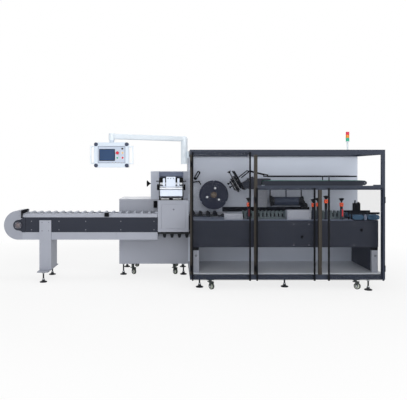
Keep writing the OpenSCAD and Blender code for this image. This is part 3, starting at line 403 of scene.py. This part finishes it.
# Buttons of the control panel: place on its front, radius of the head, radius of the coloured ball, colour
BUTTONS = [
    ((75, 25), 18, 30, RED_RGB),
    ((135, 77), 12, 26, BLACK_RGB),
    ((138, 26), 14, 25, AMBER_RGB),
    ((74, -35), 13, 25, GREEN_RGB),
    ((138, -36), 14, 25, RED_RGB),
]
SMALL_BUTTON_R = 5
BUTTONS += [((x, -93), SMALL_BUTTON_R, 16, BLACK_RGB) for x in (17, 54, 92, 133)]

# Radius in metres of the coloured hubs of the casters, the reel and the end bearing
CASTER_HUB_R = 0.031
REEL_HUB_R = 0.044
BEARING_R = 0.075

slot_looks = {
    "frame_tube": painted("frame_tube", FRAME_RGB, 0.40, shine=0.2),
    "main_wall": painted("main_wall", WALL_RGB, 0.38, 0.02),
    "grey_panel": painted("grey_panel", GREY_RGB, 0.40, 0.025),
    "dark_panel": painted("dark_panel", DARK_RGB, 0.42, shine=0.2),
    "black_profile": plastic("black_profile", BLACK_RGB, 0.55, shine=0.06),
    "steel": brushed("steel", STEEL_RGB, ALONG_X),
    "aluminium": brushed("aluminium", srgb(232, 235, 239), ALONG_Z, 0.40, 0.55),
    "deck_steel": brushed("deck_steel", srgb(104, 112, 130), (6, 300, 300), 0.42, 0.5),
    "lug_dark": painted("lug_dark", srgb(84, 98, 102), 0.38),
    "indicator_orange": plastic("indicator_orange", srgb(236, 92, 56), 0.3),
    "green_belt": ribbed("green_belt", srgb(58, 112, 104), "X", 60),
    "blue_belt": ribbed("blue_belt", srgb(34, 76, 106), "X", 60, 0.55),
    "bucket_black": plastic("bucket_black", srgb(44, 48, 52), 0.5),
    # Flights past -0.37 m along X, inside the guard and on the return run, are near black: painted shade
    # on the same grey flights
    "bucket_grey": plastic(
        "bucket_grey", srgb(174, 179, 189), 0.5, shine=0.1, parts=[("X", -0.37, srgb(26, 29, 33))]),
    "white_shell": painted("white_shell", WHITE_RGB, 0.35, 0.015),
    "screen_glass": plastic("screen_glass", srgb(42, 68, 104), 0.16, 1200, shine=0.12),
    "button_red": plastic(
        "button_red", RED_RGB, 0.28, spots=[(on_panel(*p), ball / 1000, c) for p, _, ball, c in BUTTONS]),
    "lens_amber": plastic(
        "lens_amber", srgb(44, 186, 148), 0.15,
        parts=[("Z", 1.930, srgb(245, 150, 38)), ("Z", 1.9725, srgb(232, 52, 84))]),
    "foot_black": plastic("foot_black", srgb(40, 42, 46), 0.5),
    "caster_grey": plastic(
        "caster_grey", srgb(62, 68, 64), 0.5,
        spots=[(caster_axle(*c)[0], CASTER_HUB_R, srgb(204, 210, 198)) for c in CASTERS]),
    "clear_leaf": clear_leaf(),
}

# Nodes whose look differs from their slot's
node_looks = {
    "guard_posts": painted("frame_tube.posts", WARM_RGB, 0.40, shine=0.2, parts=[("X", 1.9, FRAME_RGB)]),
    # The pan's front 70 mm is lighter than the rest: a painted highlight for its lit front lip
    "floor_pan": painted(
        "grey_panel.pan", srgb(232, 238, 246), 0.36, 0.03, parts=[("Y", -0.675, srgb(210, 214, 222))]),
    "folder_frame": plastic(
        "black_profile.folder", BLACK_RGB, 0.42, shine=0.2, parts=[("Z", 1.375, srgb(96, 104, 124))]),
    "bed_pedestals": painted(
        "grey_panel.padded", srgb(166, 170, 181), 0.40, 0.025, shine=0.1, parts=[("Z", 0.474, PITCH_RGB)]),
    "panel_caps": plastic("black_profile.caps", srgb(52, 60, 82), 0.4),
    "carton_reel": plastic(
        "dark_panel.reel", srgb(43, 47, 64), 0.42, shine=0.12,
        spots=[(at(REEL_X, REEL_HUB_Y, REEL_Z), REEL_HUB_R, BRONZE_RGB)]),
    "shaft_bearings": plastic(
        "dark_panel.bearings", DARK_RGB, 0.42, shine=0.12,
        spots=[
            (at(REEL_X, COLLAR_MID_Y, REEL_Z), REEL_HUB_R, BRONZE_RGB),
            (at(BEARING_X, BEARING_Y + 4, BEARING_Z), BEARING_R, srgb(84, 84, 93)),
        ]),
    # Lighter copy of the grey panel paint: painted light, the same paint drawn brighter on the upper
    # cabinet
    "upper_cabinet": painted("grey_panel.upper", srgb(184, 190, 204), 0.40, 0.025),
    "infeed_end_guard": painted("grey_panel.end", srgb(145, 149, 161), 0.40, 0.025),
    "panel_box": painted("white_shell.box", srgb(206, 217, 230), 0.35, 0.015),
    "folding_drum": plastic(
        "black_profile.drum", BLACK_RGB, 0.5, shine=0.2,
        parts=[("X", 1.215, srgb(60, 68, 86)), ("X", 1.545, BLACK_RGB)]),
    "right_door_profiles": plastic(
        "black_profile.right", BLACK_RGB, 0.55, shine=0.12, parts=[("X", 2.38, FRAME_RGB)]),
    "infeed_leg": painted("grey_panel.leg", srgb(110, 114, 128), parts=[("Z", 0.1425, GREY_RGB)]),
    "folder_plates": brushed("aluminium.plates", srgb(202, 211, 225), ALONG_Z, 0.42, 0.4),
    "caster_forks": brushed("foot_black.zinc", srgb(58, 64, 64), ALL_WAYS, 0.45, 0.3),
    "spindles": painted(
        "black_profile.columns", srgb(44, 50, 62), 0.4, shine=0.2, parts=[("Z", 0.99, BLACK_RGB)]),
}

# Looks of added pieces that differ from their slot's
PANEL_FACE = painted("white_shell.face", srgb(184, 195, 213), 0.38, 0.015)
PANEL_SEAL = plastic("black_profile.seal", srgb(112, 120, 138), 0.5)
DULL_STEEL = brushed("steel.dull", srgb(128, 130, 138), ALONG_X, 0.45, 0.7)
BEARING_STEEL = brushed("steel.bearing", srgb(116, 108, 112), ALL_WAYS, 0.45, 0.6)
HOLE_BLACK = plastic("black_profile.hole", PITCH_RGB, 0.8, shine=0.0)
SCALE_RED = plastic("indicator_orange.scale", srgb(212, 50, 56), 0.4)
HUB_BRONZE = brushed("lug_dark.hub", srgb(118, 106, 94), ALL_WAYS, 0.45, 0.3)

for part in frame["record"]["subparts"]:
    mesh = nodes[part["node"]].data
    mesh.materials.clear()
    mesh.materials.append(node_looks.get(part["node"], slot_looks[part["material_slot"]]))

# Small pieces

# Edges that turn by more than this stay sharp
SHARP_ANGLE = math.radians(35)


class Piece:
    """A mesh built up in the shared frame, then bound to a body."""

    def __init__(self):
        self.bm = bmesh.new()

    def skin(self, rows):
        """Joins each closed row of vertices to the next one."""
        for low, high in zip(rows, rows[1:]):
            for i in range(len(low)):
                j = (i + 1) % len(low)
                self.bm.faces.new([low[i], low[j], high[j], high[i]])

    def lathe(self, profile, place, axis, count):
        """Turns pairs of radius and height, in millimetres, round an axis through a place."""
        turn = Vector(axis).to_track_quat("Z", "Y").to_matrix().to_4x4()
        to = Matrix.Translation(place) @ turn
        rings = []
        for r, h in profile:
            ring = []
            for i in range(count if r else 1):
                a = 2 * math.pi * i / count
                point = Vector((r * math.cos(a), r * math.sin(a), h)) / 1000
                ring.append(self.bm.verts.new(to @ point))
            rings.append(ring)
        for low, high in zip(rings, rings[1:]):
            for i in range(count):
                j = (i + 1) % count
                face = [low[i % len(low)], low[j % len(low)], high[j % len(high)], high[i % len(high)]]
                face = list(dict.fromkeys(face))
                if len(face) > 2:
                    self.bm.faces.new(face)

    def sheet(self, outline, y0, y1, place=at):
        """Stands an outline up between two depths; the place turns its points into the shared frame."""
        rows = [[self.bm.verts.new(place(x, y, z)) for x, z in outline] for y in (y0, y1)]
        self.skin(rows)
        for row in rows:
            self.bm.faces.new(row)

    def loops(self, rows):
        """Joins rows of four corners, each a low and a high x, z pair and a depth, in metres."""
        made = []
        for (x0, z0), (x1, z1), y in rows:
            corners = ((x0, y, z0), (x1, y, z0), (x1, y, z1), (x0, y, z1))
            made.append([self.bm.verts.new(c) for c in corners])
        self.skin(made)
        return made

    def tube(self, start, end, half, corner):
        """Square tube with rounded corners between two points at one height, in metres."""
        along = (end - start).normalized()
        side = along.cross(Vector(UP))
        reach = (half - corner) * math.sqrt(2)
        ring = []
        for k in range(4):
            mid = math.radians(90 * k + 45)
            for i in range(4):
                a = math.radians(90 * k + 30 * i)
                u = reach * math.cos(mid) + corner * math.cos(a)
                w = reach * math.sin(mid) + corner * math.sin(a)
                ring.append(side * u + Vector((0, 0, w)))
        rows = [[self.bm.verts.new(p + offset) for offset in ring] for p in (start, end)]
        self.skin(rows)
        for row in rows:
            self.bm.faces.new(row)

    def slab(self, low, high, edge):
        """Plate with a bevelled front between two opposite corners, in metres."""
        near = (low.x, low.z)
        far = (high.x, high.z)
        inner = ((low.x + edge, low.z + edge), (high.x - edge, high.z - edge))
        rows = self.loops([(near, far, high.y), (near, far, low.y + edge), (*inner, low.y)])
        self.bm.faces.new(rows[0])
        self.bm.faces.new(rows[-1])

    def border(self, low, high, width, y0, y1):
        """Frame round an opening, bevelled outside and in, between two depths, all in metres."""
        edge = 0.25 * width

        def grown(w):
            return (low[0] - w, low[1] - w), (high[0] + w, high[1] + w)

        self.loops([
            (*grown(0), y1), (*grown(0), y0 + edge), (*grown(edge), y0), (*grown(width - edge), y0),
            (*grown(width), y0 + edge), (*grown(width), y1), (*grown(0), y1),
        ])

    def done(self, name, body, slot, look=None):
        """Turns the mesh into an object with its look, bound to a body."""
        bmesh.ops.recalc_face_normals(self.bm, faces=self.bm.faces)
        for face in self.bm.faces:
            face.smooth = True
        mesh = bpy.data.meshes.new(name)
        self.bm.to_mesh(mesh)
        self.bm.free()
        mesh.set_sharp_from_angle(angle=SHARP_ANGLE)
        made = bpy.data.objects.new(name, mesh)
        scene.collection.objects.link(made)
        mesh.materials.append(look or slot_looks[slot])
        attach(made, body)
        return made


def screw(piece, place, axis, r):
    """Socket screw on a washer."""
    washer = 1.6
    piece.lathe([
        (0, -0.2), (1.7 * r, -0.2), (1.7 * r, 1.4), (1.6 * r, washer), (r, washer),
        (r, 0.9 * r + washer), (0.86 * r, r + washer), (0.56 * r, r + washer),
        (0.5 * r, 0.55 * r + washer), (0, 0.55 * r + washer),
    ], place, axis, 18)


def nut(piece, place, axis, r, h):
    """Hexagon nut with chamfered faces on a washer."""
    piece.lathe([(0, 0), (1.2 * r, 0), (1.2 * r, 2), (0, 2)], place, axis, 24)
    piece.lathe([(0, 2), (0.9 * r, 2), (r, 3.2), (r, h - 1.2), (0.9 * r, h), (0, h)], place, axis, 6)


def fasteners():
    """Screws of the panels, the covers and the end bearing."""
    flange_circle = 39
    bolts = Piece()
    for columns, rows, y, r in SCREWS:
        for x in columns:
            for z in rows:
                screw(bolts, at(x, y, z), FRONT, r)
    for i in range(4):
        a = math.radians(45 + 90 * i)
        x = BEARING_X + flange_circle * math.cos(a)
        z = BEARING_Z + flange_circle * math.sin(a)
        screw(bolts, at(x, BEARING_Y, z), FRONT, 4.5)
    bolts.done("frame_screws", "machine_frame", "steel", DULL_STEEL)


def rounded(x0, x1, z, r):
    """Outline of a slot with round ends."""
    out = []
    for x, start in ((x1, -90), (x0, 90)):
        for i in range(13):
            a = math.radians(start + 15 * i)
            out.append((x + r * math.cos(a), z + r * math.sin(a)))
    return out


def belt_faces():
    """Side cheeks of the two discharge belts."""
    belt_z = 884
    cheeks = Piece()
    for x0, x1 in ((2083, 2161), (2275, 2362)):
        cheeks.sheet(rounded(x0, x1, belt_z, 31.5), 143.5, 147)
        cheeks.sheet(rounded(x0, x1, belt_z, 24), 141.5, 143.5)
    cheeks.done("belt_cheeks", "machine_frame", "blue_belt")


def grommets():
    """Rubber grommets in the apron's holes."""
    piece = Piece()
    for x, z, r in ((1406, 641, 17), (2151, 728, 17), (1606, 691, 8.5)):
        piece.lathe([
            (0, -7), (r - 3, -7), (r - 3, 0), (r - 2, 1.4), (r + 1, 1.4), (r + 2, 0.8), (r + 2, -0.2),
            (r - 1, -0.2), (r - 1, -9), (0, -9),
        ], at(x, APRON_Y, z), FRONT, 32)
    piece.done("apron_grommets", "machine_frame", "black_profile", HOLE_BLACK)


def head_highlight_strips():
    """Bright aluminium strips with their screws on the front edges of two of the pick head's clamp plates:
    painted highlights for the light caught by those edges.
    """
    end_gap = 22
    screw_gap = 12
    strips = Piece()
    for u, low, high in HEAD_STRIPS:
        start = low + end_gap
        end = high - end_gap
        outline = [(u + 3, start), (u + 6, start), (u + 6, end), (u + 3, end)]
        strips.sheet(outline, HEAD_Y + 0.2, HEAD_Y - 2.5, on_head)
        for w in (low + screw_gap, high - screw_gap):
            strips.lathe([(0, -0.2), (4, -0.2), (4, 3), (3.2, 4), (1.8, 4), (1.6, 2), (0, 2)],
                         on_head(u + 4.5, HEAD_Y, w), FRONT, 16)
    strips.done("head_highlight_strips", "machine_frame", "aluminium")


def magazine_skirt():
    """Folded strip that closes the gap under the front plate of the magazine."""
    left = 1000
    right = 2290
    top = 1284
    bottom = 1252
    fold_y = 436
    skirt = Piece()
    skirt.sheet([
        (left, top), (right, top), (right, bottom + 10), (right - 10, bottom),
        (left + 10, bottom), (left, bottom + 10),
    ], 431, fold_y)
    skirt.sheet([
        (left + 14, bottom), (right - 14, bottom), (right - 14, bottom + 3), (left + 14, bottom + 3),
    ], fold_y, 452)
    skirt.done("magazine_skirt", "machine_frame", "dark_panel")


def folder_fittings():
    """Strips in the base bar's slots, the clamp between them and the rims of the hand wheels."""
    slot_l = 112
    slot_z = 1091.5
    wheel_y = 652
    wheel_z = 1246
    strips = Piece()
    for x in (-376, -212):
        strips.slab(at(x, 566, slot_z - 5), at(x + slot_l, 570, slot_z + 5), 0.001)
    strips.done("slot_strips", "machine_frame", "aluminium")
    clamp = Piece()
    clamp.lathe([(0, 0), (17, 0), (17, 3), (11, 6), (11, 14), (16, 16), (16, 22), (12, 25), (0, 25)],
                at(-238, 560, 1091), FRONT, 28)
    clamp.done("folder_clamp", "machine_frame", "black_profile")
    rims = Piece()
    for x, axis in ((-406, LEFT), (-68, RIGHT)):
        rims.lathe([(33, 2), (38, 0), (41, 4), (41, 18), (38, 22), (33, 20), (33, 2)],
                   at(x, wheel_y, wheel_z), axis, 40)
    rims.done("hand_wheel_rims", "machine_frame", "black_profile")


def bearing_insert():
    """Insert and grease nipple of the end bearing, and the lock of the leaflet housing."""
    piece = Piece()
    piece.lathe([
        (0, 0), (31, 0), (31, 4), (28, 7), (23, 7), (21, 4),
        (18, 4), (18, 9), (15, 10), (10, 10), (9, 1), (0, 1),
    ], at(BEARING_X, BEARING_Y, BEARING_Z), FRONT, 40)
    piece.lathe([(0, 0), (3, 0), (3, 5), (4.4, 6), (4.4, 9), (2, 12), (0, 12)],
                at(BEARING_X, BEARING_Y - 9, BEARING_Z + 34), UP, 12)
    piece.done("end_bearing", "machine_frame", "steel", BEARING_STEEL)
    lock = Piece()
    lock.lathe([(0, -0.2), (12, -0.2), (12, 2), (9, 5), (5, 5), (4, 3), (0, 3)],
               at(-205, LEG_Y, 951), FRONT, 28)
    lock.done("leaflet_lock", "machine_frame", "steel", DULL_STEEL)


def reel_bushes():
    """Bushes in the reel's holes and the cap on its shaft's collar."""
    bush_circle = 95
    bushes = Piece()
    for turn in (78, 198, 318):
        a = math.radians(turn)
        place = at(REEL_X + bush_circle * math.cos(a), REEL_DISC_Y, REEL_Z + bush_circle * math.sin(a))
        bushes.lathe([
            (0, -12), (12.6, -12), (12.6, 0.2), (15, 0.2), (15, 3), (13, 5), (8, 5), (6, 2), (0, 2),
        ], place, FRONT, 28)
    bushes.done("reel_bushes", "carton_reel", "aluminium")
    cap = Piece()
    cap.lathe([(0, -0.2), (21, -0.2), (21, 2), (18, 5), (11, 5), (9, 3), (5, 3), (5, 6), (0, 6)],
              at(REEL_X, COLLAR_FRONT_Y, REEL_Z), FRONT, 32)
    cap.done("reel_shaft_cap", "machine_frame", "lug_dark", HUB_BRONZE)


def button_fittings():
    """Button heads in their collars: a stop button, a key switch and flush buttons."""
    recess = 5
    shapes = {
        0: [(13, 0), (13, 8), (18, 9), (19.5, 12), (17.5, 17), (10, 19.5), (0, 20)],
        1: [(12, 0), (12, 8), (10.5, 11), (3, 11), (2.4, 6), (0, 6)],
    }
    heads = Piece()
    collars = Piece()
    for i, (spot, r, _, _) in enumerate(BUTTONS):
        h = 10 if r > SMALL_BUTTON_R else 5
        flush = [(r - 1, 0), (r - 1, h - 3), (r - 2, h - 1), (r - 4.4, h - 0.4), (0, h)]
        place = on_panel(*spot, recess)
        heads.lathe([(0, 0)] + shapes.get(i, flush), place, FRONT, 32)
        collars.lathe([(r - 0.8, 0), (r + 3, 0), (r + 3, 2), (r + 1.6, 4), (r - 0.8, 4), (r - 0.8, 0)],
                      place, FRONT, 32)
    made = heads.done("button_heads", "control_panel", "button_red")
    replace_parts(made, "panel_buttons")
    collars.done("button_collars", "control_panel", "steel")


def panel_fittings():
    """The control panel's buttons, bezel, face sheet, seal and corner bumpers."""
    button_fittings()
    overlap = 0.007
    low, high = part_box("panel_screen")
    inner = ((low[0] + overlap, low[2] + overlap), (high[0] - overlap, high[2] - overlap))
    bezel = Piece()
    bezel.border(*inner, 0.008, low[1] - 0.001, high[1])
    bezel.done("screen_bezel", "control_panel", "black_profile")
    low = on_panel(-166, -101, 4.3)
    high = on_panel(171, 108, 4.9)
    face = Piece()
    face.slab(low, high, 0.0003)
    face.done("panel_face", "control_panel", "white_shell", PANEL_FACE)
    seal_w = 0.005
    inner = ((low.x + seal_w, low.z + seal_w), (high.x - seal_w, high.z - seal_w))
    seal = Piece()
    seal.border(*inner, 0.0049, on_panel(0, 0, 2).y, on_panel(0, 0, 4.5).y)
    seal.done("panel_seal", "control_panel", "black_profile", PANEL_SEAL)
    bumper_r = 0.024
    front_y = on_panel(0, 0).y
    low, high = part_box("panel_caps")
    bumpers = Piece()
    for x in (low[0] + bumper_r, high[0] - bumper_r):
        for z in (low[2] + bumper_r, high[2] - bumper_r):
            bumpers.lathe([(0, -91.5), (21, -91.5), (24, -88), (24, 2), (22.6, 6), (18, 8.5), (0, 9)],
                          (x, front_y, z), FRONT, 36)
    made = bumpers.done("panel_bumpers", "control_panel", "black_profile", node_looks["panel_caps"])
    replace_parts(made, "panel_caps")


def ring_profile(r):
    """Flat band round a post, as a closed profile."""
    return [(r, 0), (r + 2, 1), (r + 2, 6), (r, 7), (r, 0)]


def swing_arm():
    """Arm tube between a domed swivel hub and the hub over the control panel, and the socket's rings."""
    hub_r = 43
    neck_r = 37
    tube_z = 1897
    arm = Piece()
    for z in (1779, 1846):
        arm.lathe(ring_profile(hub_r), at(ARM_X, ARM_Y, z), UP, 56)
    arm.lathe(ring_profile(neck_r), at(NECK_X, NECK_Y, 1864), UP, 48)
    arm.lathe([
        (0, 1770.6), (44, 1770.6), (44, 1888), (42.6, 1903),
        (38, 1917), (30, 1927), (18, 1934), (0, 1937),
    ], at(ARM_X, ARM_Y, 0), UP, 64)
    arm.lathe([
        (0, 1850.6), (37, 1850.6), (38, 1852), (38, 1926), (36.5, 1932), (32, 1936), (0, 1937),
    ], at(NECK_X, NECK_Y, 0), UP, 56)
    arm.tube(at(ARM_X, ARM_Y, tube_z), at(NECK_X, NECK_Y, tube_z), 0.032, 0.009)
    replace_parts(arm.done("swing_arm", "pendant_arm", "white_shell"), "pendant_arm")
    base = Piece()
    for z in (1564, 1652):
        base.lathe(ring_profile(hub_r), at(ARM_X, ARM_Y, z), UP, 56)
    base.done("socket_rings", "machine_frame", "white_shell")


def undercarriage():
    """Lock nuts of the levelling feet and axle nuts of the casters."""
    base_top = 38
    fork_half = 0.025
    nuts = Piece()
    for x, y, top in FEET:
        nut(nuts, at(x, y, top - 15), UP, 17, 14)
        nut(nuts, at(x, y, base_top), UP, 15, 12)
    for caster in CASTERS:
        middle, side = caster_axle(*caster)
        for sign in (-1, 1):
            nut(nuts, middle + side * (fork_half * sign), side * sign, 9, 9)
    nuts.done("foot_nuts", "machine_frame", "steel")


def spindle_fittings():
    """Grips round the knobs, windows in the position indicators and the red scales under them."""
    grip_count = 9
    grip_circle = 28
    indicator_y = 151
    grips = Piece()
    windows = Piece()
    for x, tall, low in SPINDLES:
        top = at(x, SPINDLE_Y, DECK_Z + tall)
        for i in range(grip_count):
            a = 2 * math.pi * i / grip_count
            place = top + Vector((grip_circle * math.cos(a), grip_circle * math.sin(a), -12)) / 1000
            grips.lathe([(0, 0), (3, 0), (5, 2), (5, 9), (3, 11), (0, 11)], place, UP, 12)
        grips.lathe([(0, 0), (16, 0), (16, 2), (12, 4), (0, 4)], top, UP, 24)
        z = DECK_Z + low
        windows.slab(at(x - 7, indicator_y - 0.6, z + 20), at(x + 7, indicator_y + 1, z + 27), 0.0005)
    grips.done("knob_grips", "machine_frame", "black_profile")
    windows.done("indicator_windows", "machine_frame", "black_profile")
    scales = Piece()
    for x in (754, 1628, 1928):
        scales.slab(at(x - 8, 148, 896), at(x + 8, 160, 990), 0.002)
    scales.done("indicator_scales", "machine_frame", "indicator_orange", SCALE_RED)


def lug_shade_strip():
    """Black notched strip behind the front row of lugs: painted shade, a dark sheet that stands for the
    shade in the gaps between the lugs.
    """
    left = 690
    right = 1996
    bottom = 858
    notch = 918
    top = 930
    pitch = 50
    outline = [(left, bottom), (right, bottom)]
    for x in range(right, left + pitch, -pitch):
        outline += [(x, top), (x - 22, top), (x - 25, notch), (x - 47, notch)]
    outline.append((left, top))
    strip = Piece()
    strip.sheet(outline, 271, 277)
    strip.done("lug_shade_strip", "machine_frame", "black_profile")


fasteners()
belt_faces()
grommets()
head_highlight_strips()
magazine_skirt()
folder_fittings()
bearing_insert()
reel_bushes()
panel_fittings()
swing_arm()
undercarriage()
spindle_fittings()
lug_shade_strip()

# Stage, light and camera, in metres


def stage():
    """White floor that glows into the white background away from the machine."""
    half = 40
    shade_r = 2.8
    glow_r = 5.0
    bm = bmesh.new()
    bmesh.ops.create_grid(bm, x_segments=2, y_segments=2, size=half)
    mesh = bpy.data.meshes.new("floor")
    bm.to_mesh(mesh)
    bm.free()
    floor = bpy.data.objects.new("floor", mesh)
    scene.collection.objects.link(floor)
    s = Surface("floor")
    s.colour(s.mix(s.noise(0.5, 2), (0.93, 0.93, 0.93), (0.95, 0.95, 0.95)))
    s.set(Roughness=0.9)
    glow = s.node("ShaderNodeEmission")
    far = s.node("ShaderNodeVectorMath", operation="LENGTH")
    s.link(s.place, far.inputs[0])
    share = s.spread(far.outputs["Value"], 0.80, 1.0, shade_r, glow_r)
    seen = s.node("ShaderNodeLightPath").outputs["Is Camera Ray"]
    blend = s.node("ShaderNodeMixShader")
    s.link(s.math("MULTIPLY", share, seen), blend.inputs["Fac"])
    s.link(s.shader.outputs["BSDF"], blend.inputs[1])
    s.link(glow.outputs["Emission"], blend.inputs[2])
    s.link(blend.outputs["Shader"], s.tree.nodes["Material Output"].inputs["Surface"])
    mesh.materials.append(s.mat)


def world():
    """White surroundings that are bright where they are seen or mirrored and dimmer as light."""
    as_light = 0.38
    as_seen = 1.0
    made = bpy.data.worlds.new("studio")
    scene.world = made
    made.use_nodes = True
    tree = made.node_tree
    path = tree.nodes.new("ShaderNodeLightPath")
    bright = path.outputs["Is Camera Ray"]
    for ray in ("Is Transmission Ray", "Is Glossy Ray"):
        either = tree.nodes.new("ShaderNodeMath")
        either.operation = "MAXIMUM"
        tree.links.new(bright, either.inputs[0])
        tree.links.new(path.outputs[ray], either.inputs[1])
        bright = either.outputs[0]
    strength = tree.nodes.new("ShaderNodeMapRange")
    strength.inputs["To Min"].default_value = as_light
    strength.inputs["To Max"].default_value = as_seen
    tree.links.new(bright, strength.inputs["Value"])
    back = tree.nodes["Background"]
    back.inputs["Color"].default_value = (1, 1, 1, 1)
    tree.links.new(strength.outputs["Result"], back.inputs["Strength"])


def lamp(name, place, target, size, power):
    """Rectangular lamp at a place, turned to a target."""
    data = bpy.data.lights.new(name, "AREA")
    data.shape = "RECTANGLE"
    data.size = size[0]
    data.size_y = size[1]
    data.energy = power
    made = bpy.data.objects.new(name, data)
    made.location = place
    made.rotation_euler = (Vector(target) - Vector(place)).to_track_quat("-Z", "Y").to_euler()
    scene.collection.objects.link(made)


stage()
world()
lamp("key", (-1.6, -6.4, 5.0), (0, 0, 0.9), (4, 3), 106)
lamp("fill", (4.5, -6.0, 4.0), (0.5, 0, 0.9), (4, 3), 80)
lamp("top", (0, 0, 6.5), (0, 0, 0), (6, 3), 95)
lamp("front", (-0.3, -9.5, 2.2), (0, 0, 0.9), (9, 3.5), 184)
lamp("back", (0.5, 8.5, 3.6), (0, 0, 0.9), (8, 3), 130)
lamp("low_left", (-5.5, -6.5, 0.9), (-0.6, 0, 0.6), (2.5, 1.4), 50)
lamp("low_right", (6.0, -6.5, 0.9), (1.2, 0, 0.6), (2.5, 1.4), 50)

view = bpy.data.cameras.new("camera")
view.lens = 43.15
view.sensor_width = 36
view.shift_x = 0.070
view.shift_y = -0.0737
view.clip_end = 200
camera = bpy.data.objects.new("camera", view)
camera.location = (-0.145, -6.745, 1.48)
camera.rotation_euler = (math.pi / 2, 0, 0)
scene.collection.objects.link(camera)
scene.camera = camera
scene.view_settings.view_transform = "Standard"
